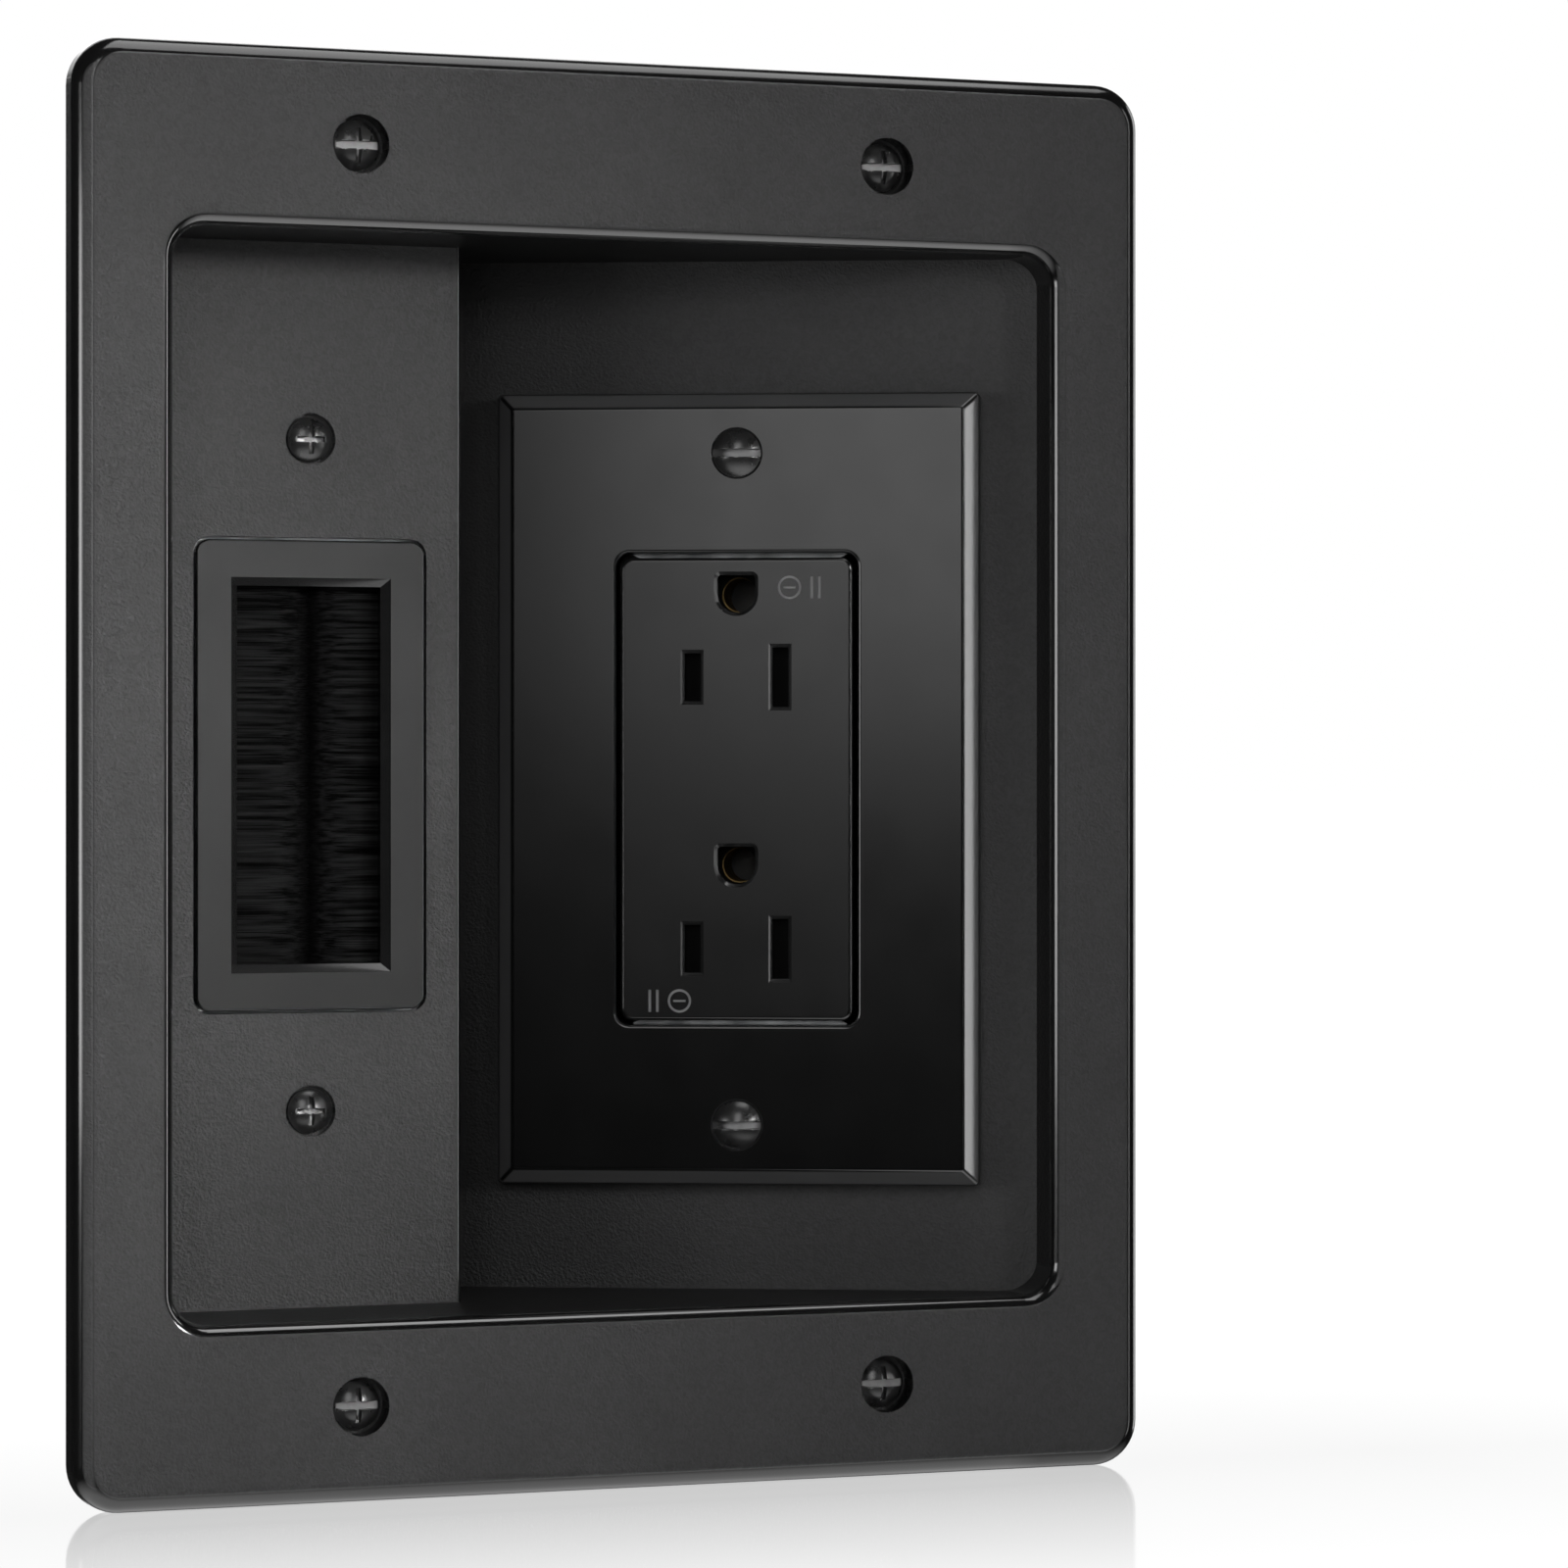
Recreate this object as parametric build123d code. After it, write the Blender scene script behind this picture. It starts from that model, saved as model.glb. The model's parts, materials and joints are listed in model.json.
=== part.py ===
from build123d import *
import os
from math import cos, radians, sin, tan

# A recessed two-gang wall outlet: a moulded frame with a cable brush on the left and a duplex
# receptacle with its wall plate on the slanted floor of a deeper pocket on the right.
# Sizes are in millimetres. X runs right, Z up and Y into the wall, and the origin is the centre of
# the flange's back face, which rests on the wall.
# Each piece is drawn facing the room, with x right, y up and z towards the room, and then placed on
# one of three seats: the wall, the brush panel or the pocket floor.

# Flange and pan
FLANGE_WIDTH = 158.0
FLANGE_HEIGHT = 199.0
FLANGE_THICKNESS = 5.5
FLANGE_CORNER = 6.5
FLANGE_EDGE_ROUND = 3.0
RECESS_WIDTH = 130.4
RECESS_HEIGHT = 149.0
RECESS_CORNER = 4.5
RIM_ROUND = 2.0
PAN_WALL = 2.0
FLOOR_THICKNESS = 2.5
PANEL_DEPTH = 15.5
STEP_X = -17.3
STEP_EDGE_ROUND = 1.0
POCKET_TILT = 26.9
PAN_REACH = 60.0
FRONT_REACH = 20.0

# Seat of the receptacle on the pocket floor, and seat of the brush on its panel
OUTLET_X = 26.9
OUTLET_DEPTH = 20.4
OUTLET_DROP = 2.0
BRUSH_X = -39.7

# Wall clamps: a screw in each flange corner carries a wing that grips the back of the wallboard
CLAMP_X = 39.0
CLAMP_Z = 86.25
COUNTERBORE_RADIUS = 4.05
COUNTERBORE_DEPTH = 3.2
CLAMP_HEAD_RADIUS = 3.4
CLAMP_HEAD_HEIGHT = 2.3
CLAMP_SHANK_RADIUS = 2.05
CLAMP_SCREW_END = 46.0
RUNNING_GAP = 0.05
CLAMP_BOSS_RADIUS = 5.6
CLAMP_BOSS_LENGTH = 7.5
GUIDE_HALF_WIDTH = 6.0
GUIDE_LENGTH = 44.0
GUIDE_GAP = 0.3
WING_HALF = 5.0
WING_ARM = 13.0
WING_ARM_HALF = 4.5
WING_FRONT = 34.0
WING_THICKNESS = 8.0
WING_TOOTH = 1.5

# Receptacle seat details shared by several pieces
PLATE_SCREW_Y = 48.4
YOKE_SCREW_Y = 41.65
BOX_SCREW_X = -24.0
BOX_SCREW_Y = 44.0
MACHINE_SCREW_RADIUS = 1.75
THREAD_GAP = 0.05
CROSS_ARM = 0.9
BODY_WIDTH = 33.5
BODY_HEIGHT = 66.6
BODY_DEPTH = 25.0
SLOT_X = 6.35
SLOT_YS = (16.1, -23.0)
GROUND_RISE = 12.0
GROUND_YS = tuple(y + GROUND_RISE for y in SLOT_YS)
STRAP_THICKNESS = 1.1
FACE_FRONT = 6.8
PLATE_THICKNESS = 5.8

# Rear box
BOX_LEFT = -17.0
BOX_RIGHT = 64.0
BOX_BACK = 72.0
BOX_CHAMFER = 16.0
BOX_HALF_HEIGHT = 56.0
BOX_WALL = 2.0
SEAT_GAP = 0.05
ENTRY_WIDTH = 14.0
ENTRY_DEPTH = 9.0
ENTRY_XS = (-6.5, 35.0)
ENTRY_Y = 62.5

# Bosses and holes in the pocket floor
YOKE_BOSS_RADIUS = 4.2
YOKE_BOSS_LENGTH = 12.0
PLATE_SCREW_CLEARANCE = 2.4
BOX_SCREW_CLEARANCE = 1.95
BOX_BOSS_RADIUS = 4.0
BOX_BOSS_LENGTH = 34.0
DEVICE_OPENING = (36.0, 69.0)

# Cable clamps in the rear box
CLAMP_BAR_SCREW_Y = 51.0
CLAMP_BAR_HALF = 7.5
CLAMP_BAR_FRONT = 46.0
CLAMP_BAR_LIP = 58.0
CLAMP_BAR_TOP = 48.2
CLAMP_BAR_THICKNESS = 1.2
CLAMP_BAR_BEND = 5.0
CLAMP_BAR_BOSS = 3.6

# Cable brush
INSERT_FACE = (33.3, 65.7)
INSERT_OPENING = (34.1, 66.5)
INSERT_CORNER = 2.4
BEZEL_CORNER = 2.0
BRUSH_WINDOW = (21.0, 52.9)
WINDOW_CHAMFER = 1.15
BEZEL_FRONT = 0.4
BEZEL_EDGE_ROUND = 0.35
BEZEL_BACK = -8.0
BRUSH_SCREW_Y = 47.0
BRUSH_SINK_RADIUS = 3.65
BRUSH_SINK_DEPTH = 1.3
CHANNEL_INNER = 11.3
CHANNEL_OUTER = 14.9
CHANNEL_HALF_LENGTH = 28.5
CHANNEL_BACK = -7.4
CHANNEL_FRONT = -2.1
BRISTLE_BACK = -6.0
BRISTLE_FRONT = -3.5
BRISTLE_HALF_LENGTH = 27.5
SEAM_HALF = 0.15
STRAP_BACK = -3.8
RETAINER_BACK = -9.5
RETAINER_SCREW_X = 13.4
RETAINER_SCREW_Y = 30.3
SINK_CLEARANCE = 0.2
STRAP_SIZE = (38.0, 106.0)
STRAP_CORNER = 3.0
RETAINER_PILOT = 0.95
RETAINER_HOLE = 1.1
RETAINER_PILOT_DEPTH = 5.0
CHANNEL_SKIN = 0.9

# Wall plate
PLATE_WIDTH = 69.85
PLATE_HEIGHT = 114.3
PLATE_BEVEL = 2.3
PLATE_EDGE_ROUND = 0.8
PLATE_OPENING = (34.9, 68.0)
PLATE_HOLLOW = 4.2
PLATE_WALL = 1.6
PLATE_HEAD_RADIUS = 3.5
PLATE_BOSS_RADIUS = 2.6
PLATE_OPENING_CORNER = 1.9
PLATE_OPENING_ROUND = 0.5
COLLAR_MARGIN = 2.8
PLATE_HOLE_GAP = 0.25
COUNTERSINK_DEPTH = 2.2

# Receptacle
FACE_CAVITY = (30.0, 63.0)
FACE_WALL_BACK = 4.6
CORNER_SCREW_X = 13.9
CORNER_SCREW_Y = 30.9
SLOT_WIDTH = 2.3
HOT_SLOT = 6.9
NEUTRAL_SLOT = 8.6
SLOT_CHAMFER = 0.5
GROUND_RADIUS = 2.7
SHUTTER_TRAVEL = 3.4
SHUTTER_BACK = 2.25
SHUTTER_FRONT = 4.5
SHUTTER_HALF_HEIGHT = 5.2
SHUTTER_LEFT = -13.0
SHUTTER_RIGHT = 9.5
SPRING_START = 5.4
SPRING_WALL_X = 13.3
SPINE_HALF = 5.0
SIDE_RECESS_X = 12.3
TERMINAL_YS = (13.0, -13.0)
TERMINAL_Z = -13.0
GROUND_BORE_RADIUS = 2.45
GROUND_TOP_ROUND = 0.5
FACE_CORNER = 1.7
FACE_EDGE_ROUND = 0.6
MARK_DEPTH = 0.25
MARK_UPPER = (7.7, 29.0)
MARK_LOWER = (-8.2, -30.5)
CARRIER_GROUND_HOLE = 2.55
CORNER_PILOT = 1.1
CORNER_HOLE = 1.15
CORNER_BOSS = 2.0
CORNER_HEAD_SINK = 2.3
SHUTTER_WINDOW_HALF = 1.3
SPRING_POCKET_HALF = 1.2
SPRING_FOLDS = 7
SPRING_WIRE = 0.3
SPRING_SWING = 0.75
EAR_WIDTH = 33.0
EAR_END = 52.75
EAR_CORNER = 2.5
EAR_SLOT = (6.6, 3.9)
CONTACT_X = (12.35, 13.15)
CONTACT_SPAN = (-25.2, 18.2)
CONTACT_BREAK_HALF = 2.0
TERMINAL_HOLE = 2.1
GRIP_NEAR = (4.9, 7.2)
GRIP_SHEET = 0.6
GRIP_HALF = 3.5
TERMINAL_HEAD_RADIUS = 3.8
TERMINAL_SHANK_RADIUS = 2.05
TAB_X = (-14.6, -13.5)
TAB_Y = (-41.0, -36.0)
GREEN_SCREW_Y = -38.5
GREEN_SCREW_Z = -5.0
GREEN_HEAD_RADIUS = 3.1
SCREW_PASS = ((-19.5, -11.5), (-42.0, -30.0))

TILT = radians(POCKET_TILT)


def seat(x, y, z, tilt=0.0):
    """Plane that faces the room, turned by tilt radians to face further left."""
    return Plane(origin=(x, y, z), x_dir=(cos(tilt), -sin(tilt), 0), z_dir=(-sin(tilt), -cos(tilt), 0))


WALL = seat(0, 0, 0)
PANEL = seat(BRUSH_X, PANEL_DEPTH, 0)
POCKET = seat(OUTLET_X, OUTLET_DEPTH, -OUTLET_DROP, TILT)


def block(x, y, z):
    """Box between the two ends given for each axis."""
    size = [max(span) - min(span) for span in (x, y, z)]
    middle = [(span[0] + span[1]) / 2 for span in (x, y, z)]
    return Pos(*middle) * Box(*size)


def slab(width, height, corner, low, high, x=0.0, y=0.0):
    """Plate with rounded corners, from low to high."""
    return extrude(Pos(x, y, low) * RectangleRounded(width, height, corner), amount=high - low)


def rod(radius, low, high, x=0.0, y=0.0):
    """Round bar along z, from low to high."""
    return Pos(x, y, (low + high) / 2) * Cylinder(radius, high - low)


def side_rod(radius, low, high, y, z):
    """Round bar along x, from low to high."""
    return Pos((low + high) / 2, y, z) * Rot(0, 90, 0) * Cylinder(radius, abs(high - low))


def dome(radius, rise, base):
    """Spherical cap that stands on z = base."""
    ball_radius = (radius**2 + rise**2) / (2 * rise)
    ball = Pos(0, 0, base + rise - ball_radius) * Sphere(ball_radius)
    return ball & rod(radius, base, base + rise)


def pocket_depth(x, behind=0.0):
    """Depth at x of the pocket floor, or of the plane that lies behind it."""
    shift = behind / cos(TILT)
    return OUTLET_DEPTH + shift - (x - OUTLET_X) * tan(TILT)


def plan_prism(points, half_height):
    """Upright prism over a plan outline given as (x, y) points."""
    return extrude(make_face(Polyline(*points, close=True)), amount=half_height, both=True)


# ---------------------------------------------------------------- fasteners


def pan_screw(head_radius, head_height, shank_radius, length, slot=1.05, cross=0.0, x=0.0, y=0.0, z=0.0):
    """Machine screw whose head stands on z, with a driver slot and, where cross is given, a cross recess."""
    edge = 0.3 * head_height
    head = rod(head_radius, 0, edge) + dome(head_radius, head_height - edge, edge)
    recess_floor = 0.45 * head_height
    tools = []
    if slot:
        tools.append(block((-head_radius, head_radius), (-slot / 2, slot / 2), (recess_floor, head_height)))
    if cross:
        arm = (-CROSS_ARM / 2, CROSS_ARM / 2)
        for turn in (0, 90):
            tools.append(Rot(0, 0, turn) * block((-cross, cross), arm, (recess_floor, head_height)))
    for tool in tools:
        head -= tool
    return Pos(x, y, z) * (head + rod(shank_radius, -length, 0))


def oval_screw(head_radius, cone_depth, rise, shank_radius, length, slot, y, z):
    """Oval-head screw: a cone below z, a low dome above it and a level slot."""
    cone = Pos(0, 0, -cone_depth / 2) * Cone(shank_radius, head_radius, cone_depth)
    head = cone + dome(head_radius, rise, 0)
    head -= block((-head_radius, head_radius), (-slot / 2, slot / 2), (-0.5 * cone_depth, rise))
    return Pos(0, y, z) * (head + rod(shank_radius, -length, -cone_depth))


# ---------------------------------------------------------------- frame and rear box


def clamp_guide(side, level):
    """Boss that a clamp screw turns in, with the rail that stops the wing."""
    rail_low = RECESS_HEIGHT / 2 + PAN_WALL / 2
    rail_high = CLAMP_Z - WING_HALF - GUIDE_GAP
    x, y = side * CLAMP_X, level * CLAMP_Z
    across = (x - GUIDE_HALF_WIDTH, x + GUIDE_HALF_WIDTH)
    rail = block(across, (level * rail_low, level * rail_high), (-GUIDE_LENGTH, 1))
    return rail + rod(CLAMP_BOSS_RADIUS, -CLAMP_BOSS_LENGTH, 1, x, y)


def recessed_frame():
    """Flange and pan moulded in one piece."""
    flange = slab(FLANGE_WIDTH, FLANGE_HEIGHT, FLANGE_CORNER, 0, FLANGE_THICKNESS)
    flange = fillet(flange.edges().group_by(Axis.Z)[-1], FLANGE_EDGE_ROUND)

    half_x, half_z = RECESS_WIDTH / 2, RECESS_HEIGHT / 2
    outer_x, outer_z = half_x + PAN_WALL, half_z + PAN_WALL
    outer_step = STEP_X - PAN_WALL
    back = PANEL_DEPTH + FLOOR_THICKNESS
    pan = plan_prism(
        [
            (-outer_x, 0),
            (-outer_x, back),
            (outer_step, back),
            (outer_step, pocket_depth(outer_step, FLOOR_THICKNESS)),
            (outer_x, pocket_depth(outer_x, FLOOR_THICKNESS)),
            (outer_x, 0),
        ],
        outer_z,
    )
    pan &= WALL.location * slab(2 * outer_x, 2 * outer_z, RECESS_CORNER + PAN_WALL, -PAN_REACH, FRONT_REACH)
    hollow = plan_prism(
        [
            (-half_x, -FRONT_REACH),
            (-half_x, PANEL_DEPTH),
            (STEP_X, PANEL_DEPTH),
            (STEP_X, pocket_depth(STEP_X)),
            (half_x, pocket_depth(half_x)),
            (half_x, -FRONT_REACH),
        ],
        half_z,
    )
    hollow &= WALL.location * slab(2 * half_x, 2 * half_z, RECESS_CORNER, -PAN_REACH, 2 * FRONT_REACH)

    frame = WALL.location * flange + pan
    for side in (-1, 1):
        for level in (-1, 1):
            frame += WALL.location * clamp_guide(side, level)
    frame -= hollow
    front = -FLANGE_THICKNESS
    rim = [
        edge
        for edge in frame.edges().filter_by_position(Axis.Y, front - 0.01, front + 0.01)
        if abs(edge.center().X) <= half_x + 0.01 and abs(edge.center().Z) <= half_z + 0.01
    ]
    frame = fillet(rim, RIM_ROUND)
    step_edge = [
        edge
        for edge in frame.edges().filter_by(Axis.Z)
        if abs(edge.center().X - STEP_X) < 0.01 and abs(edge.center().Y - PANEL_DEPTH) < 0.01
    ]
    frame = fillet(step_edge, STEP_EDGE_ROUND)

    for side in (-1, 1):
        for level in (-1, 1):
            x, y = side * CLAMP_X, level * CLAMP_Z
            seat_z = FLANGE_THICKNESS - COUNTERBORE_DEPTH
            frame -= WALL.location * rod(COUNTERBORE_RADIUS, seat_z, FLANGE_THICKNESS + 1, x, y)
            frame -= WALL.location * rod(CLAMP_SHANK_RADIUS + RUNNING_GAP, -GUIDE_LENGTH, seat_z + 1, x, y)

    panel_back = -FLOOR_THICKNESS - 1
    frame -= PANEL.location * slab(INSERT_OPENING[0], INSERT_OPENING[1], INSERT_CORNER, panel_back, 1)
    for y in (-BRUSH_SCREW_Y, BRUSH_SCREW_Y):
        frame -= PANEL.location * rod(BRUSH_SINK_RADIUS, -BRUSH_SINK_DEPTH, 1, 0, y)
        frame -= PANEL.location * rod(MACHINE_SCREW_RADIUS + SINK_CLEARANCE, panel_back, 1, 0, y)

    for y in (-YOKE_SCREW_Y, YOKE_SCREW_Y):
        frame += POCKET.location * rod(YOKE_BOSS_RADIUS, -YOKE_BOSS_LENGTH, -1, 0, y)
        frame -= POCKET.location * rod(MACHINE_SCREW_RADIUS + THREAD_GAP, -YOKE_BOSS_LENGTH - 1, 1, 0, y)
    for y in (-PLATE_SCREW_Y, PLATE_SCREW_Y):
        frame -= POCKET.location * rod(PLATE_SCREW_CLEARANCE, -FLOOR_THICKNESS - 1, 1, 0, y)
    for y in (-BOX_SCREW_Y, BOX_SCREW_Y):
        frame -= POCKET.location * rod(BOX_SCREW_CLEARANCE, -FLOOR_THICKNESS - 1, 1, BOX_SCREW_X, y)
    cut = slab(DEVICE_OPENING[0], DEVICE_OPENING[1], 2, -FLOOR_THICKNESS - 3, 3)
    cut += block(*SCREW_PASS, (-FLOOR_THICKNESS - 3, 3))
    frame -= POCKET.location * cut
    return frame


def rear_box():
    """Wiring box behind the pocket, open towards the receptacle."""
    behind = FLOOR_THICKNESS + SEAT_GAP

    def outline(inset, front):
        left, right, back = BOX_LEFT + inset, BOX_RIGHT - inset, BOX_BACK - inset
        corner = BOX_CHAMFER - 0.5 * inset
        return [
            (left, pocket_depth(left, front)),
            (left, back),
            (right - corner, back),
            (right, back - corner),
            (right, pocket_depth(right, front)),
        ]

    shell = plan_prism(outline(0, behind), BOX_HALF_HEIGHT)
    hollow = plan_prism(outline(BOX_WALL, 0), BOX_HALF_HEIGHT - BOX_WALL)
    box = shell - hollow
    for level in (-1, 1):
        y = level * BOX_SCREW_Y
        boss = rod(BOX_BOSS_RADIUS, -BOX_BOSS_LENGTH, -behind, BOX_SCREW_X, y)
        wall_y = level * (BOX_HALF_HEIGHT - BOX_WALL / 2) + OUTLET_DROP
        boss += block((BOX_SCREW_X - 1.5, BOX_SCREW_X + 1.5), (y, wall_y), (-BOX_BOSS_LENGTH, -behind))
        box += POCKET.location * boss
        box -= POCKET.location * rod(
            MACHINE_SCREW_RADIUS + THREAD_GAP, -BOX_BOSS_LENGTH - 1, 0, BOX_SCREW_X, y
        )
    lid = BOX_HALF_HEIGHT - BOX_WALL / 2
    for x in ENTRY_XS:
        box -= Pos(x, ENTRY_Y, BOX_HALF_HEIGHT) * Box(ENTRY_WIDTH, ENTRY_DEPTH, 4 * BOX_WALL)
        box += rod(CLAMP_BAR_BOSS, CLAMP_BAR_TOP + SEAT_GAP, lid, x, CLAMP_BAR_SCREW_Y)
        hole = MACHINE_SCREW_RADIUS + THREAD_GAP
        box -= rod(hole, CLAMP_BAR_TOP, BOX_HALF_HEIGHT + 1, x, CLAMP_BAR_SCREW_Y)
    return box


def cable_clamps():
    """Bent steel bars that press the two supply cables against the back of the rear box."""
    low = CLAMP_BAR_TOP - CLAMP_BAR_THICKNESS
    bars = []
    for x in ENTRY_XS:
        width = (x - CLAMP_BAR_HALF, x + CLAMP_BAR_HALF)
        bar = block(width, (CLAMP_BAR_FRONT, CLAMP_BAR_LIP), (low, CLAMP_BAR_TOP))
        lip = (CLAMP_BAR_LIP - CLAMP_BAR_THICKNESS, CLAMP_BAR_LIP)
        bar += block(width, lip, (low - CLAMP_BAR_BEND, CLAMP_BAR_TOP))
        bars.append(bar - rod(2.0, low - 1, CLAMP_BAR_TOP + 1, x, CLAMP_BAR_SCREW_Y))
    return bars


def cable_clamp_screws():
    """Screws that pull the cable clamps up to their bosses."""
    screw = Rot(180, 0, 0) * pan_screw(3.6, 2.2, MACHINE_SCREW_RADIUS, 7.0)
    return [Pos(x, CLAMP_BAR_SCREW_Y, CLAMP_BAR_TOP - CLAMP_BAR_THICKNESS) * screw for x in ENTRY_XS]


def box_screws():
    """Two long machine screws that hold the rear box to the frame."""
    return [
        pan_screw(4.1, 2.6, MACHINE_SCREW_RADIUS, 38.1, slot=1.3, x=BOX_SCREW_X, y=y)
        for y in (-BOX_SCREW_Y, BOX_SCREW_Y)
    ]


# ---------------------------------------------------------------- wall clamps


def clamp_screw(side, level):
    """Combination-head screw in its counterbore."""
    screw = pan_screw(
        CLAMP_HEAD_RADIUS, CLAMP_HEAD_HEIGHT, CLAMP_SHANK_RADIUS,
        CLAMP_SCREW_END + FLANGE_THICKNESS - COUNTERBORE_DEPTH, slot=1.05, cross=2.5,
    )
    seat_z = FLANGE_THICKNESS - COUNTERBORE_DEPTH + RUNNING_GAP
    return Pos(side * CLAMP_X, level * CLAMP_Z, seat_z) * screw


def clamp_wing(side, level):
    """Wing nut: a hub with one round corner, so that it can swing only a quarter turn, and an arm."""
    low, high = -WING_FRONT - WING_THICKNESS, -WING_FRONT
    half = WING_HALF / 2
    hub = rod(WING_HALF, low, high)
    for x, y in ((-half, half), (-half, -half), (half, half)):
        hub += block((x - half, x + half), (y - half, y + half), (low, high))
    arm = block((-WING_ARM, 0), (-WING_ARM_HALF, WING_ARM_HALF), (low + 2, high))
    tooth = block((-WING_ARM, 3 - WING_ARM), (-WING_ARM_HALF, WING_ARM_HALF), (high, high + WING_TOOTH))
    wing = hub + arm + tooth - rod(CLAMP_SHANK_RADIUS + RUNNING_GAP, low - 1, high + 1)
    turn = 0 if level > 0 else 180
    return Pos(side * CLAMP_X, level * CLAMP_Z, 0) * Rot(0, 0, turn) * wing


# ---------------------------------------------------------------- cable brush


def brush_bezel():
    """Surround of the brush: a face with a chamfered window, and walls that hold the brush strips."""
    width, height = INSERT_FACE
    bezel = slab(width, height, BEZEL_CORNER, BEZEL_BACK, BEZEL_FRONT)
    bezel = fillet(bezel.edges().group_by(Axis.Z)[-1], BEZEL_EDGE_ROUND)
    room_x, room_y = CHANNEL_OUTER + 0.1, CHANNEL_HALF_LENGTH + 0.1
    bezel -= block((-room_x, room_x), (-room_y, room_y), (BEZEL_BACK - 1, CHANNEL_FRONT + 0.1))
    window_x, window_y = BRUSH_WINDOW
    bezel -= block((-window_x / 2, window_x / 2), (-window_y / 2, window_y / 2), (-5, 5))
    rim = [
        edge
        for edge in bezel.edges().filter_by_position(Axis.Z, BEZEL_FRONT - 0.01, BEZEL_FRONT + 0.01)
        if abs(edge.center().X) <= window_x / 2 + 0.01 and abs(edge.center().Y) <= window_y / 2 + 0.01
    ]
    bezel = chamfer(rim, WINDOW_CHAMFER)
    for x in (-RETAINER_SCREW_X, RETAINER_SCREW_X):
        for y in (-RETAINER_SCREW_Y, RETAINER_SCREW_Y):
            bezel -= rod(RETAINER_PILOT, BEZEL_BACK - 1, BEZEL_BACK + RETAINER_PILOT_DEPTH, x, y)
    return bezel


def brush_strap():
    """Steel strap behind the panel that the brush screws pull on."""
    strap = slab(*STRAP_SIZE, STRAP_CORNER, STRAP_BACK, -FLOOR_THICKNESS - SEAT_GAP)
    strap -= slab(INSERT_FACE[0] + 0.1, INSERT_FACE[1] + 0.1, BEZEL_CORNER, STRAP_BACK - 1, 0)
    for y in (-BRUSH_SCREW_Y, BRUSH_SCREW_Y):
        strap -= rod(MACHINE_SCREW_RADIUS + THREAD_GAP, STRAP_BACK - 1, 0, 0, y)
    return strap


def brush_channel(side):
    """Folded metal channel that grips one row of bristles by the root."""
    ends = (side * CHANNEL_INNER, side * CHANNEL_OUTER)
    length = (-CHANNEL_HALF_LENGTH, CHANNEL_HALF_LENGTH)
    channel = block(ends, length, (CHANNEL_BACK, CHANNEL_FRONT))
    groove = (side * (CHANNEL_INNER - 1), side * (CHANNEL_OUTER - CHANNEL_SKIN))
    return channel - block(groove, (-40, 40), (BRISTLE_BACK - 0.1, BRISTLE_FRONT + 0.1))


def bristles(side):
    """One row of bristles, from its channel to the seam in the middle of the window."""
    span = (side * SEAM_HALF, side * (CHANNEL_OUTER - 1.0))
    return block(span, (-BRISTLE_HALF_LENGTH, BRISTLE_HALF_LENGTH), (BRISTLE_BACK, BRISTLE_FRONT))


def brush_retainer():
    """Back frame that closes the bezel over the brush strips."""
    low, high = RETAINER_BACK, BEZEL_BACK - SEAT_GAP
    plate = slab(INSERT_FACE[0], INSERT_FACE[1], INSERT_CORNER, low, high)
    window_x, window_y = BRUSH_WINDOW
    plate -= block((-window_x / 2, window_x / 2), (-window_y / 2, window_y / 2), (low - 1, high + 1))
    for x in (-RETAINER_SCREW_X, RETAINER_SCREW_X):
        for y in (-RETAINER_SCREW_Y, RETAINER_SCREW_Y):
            plate -= rod(RETAINER_HOLE, low - 1, high + 1, x, y)
    return plate


def brush_retainer_screws():
    """Four small screws, driven from behind."""
    screw = Rot(0, 180, 0) * pan_screw(1.8, 1.3, 0.9, 6.0, slot=0, cross=1.2)
    return [
        Pos(x, y, RETAINER_BACK) * screw
        for x in (-RETAINER_SCREW_X, RETAINER_SCREW_X)
        for y in (-RETAINER_SCREW_Y, RETAINER_SCREW_Y)
    ]


def brush_panel_screws():
    """Cross-head screws above and below the brush, in round sinks in the panel."""
    return [
        pan_screw(3.2, 2.1, MACHINE_SCREW_RADIUS, 9.0, slot=0, cross=2.1, y=y, z=-BRUSH_SINK_DEPTH)
        for y in (-BRUSH_SCREW_Y, BRUSH_SCREW_Y)
    ]


# ---------------------------------------------------------------- wall plate


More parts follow.
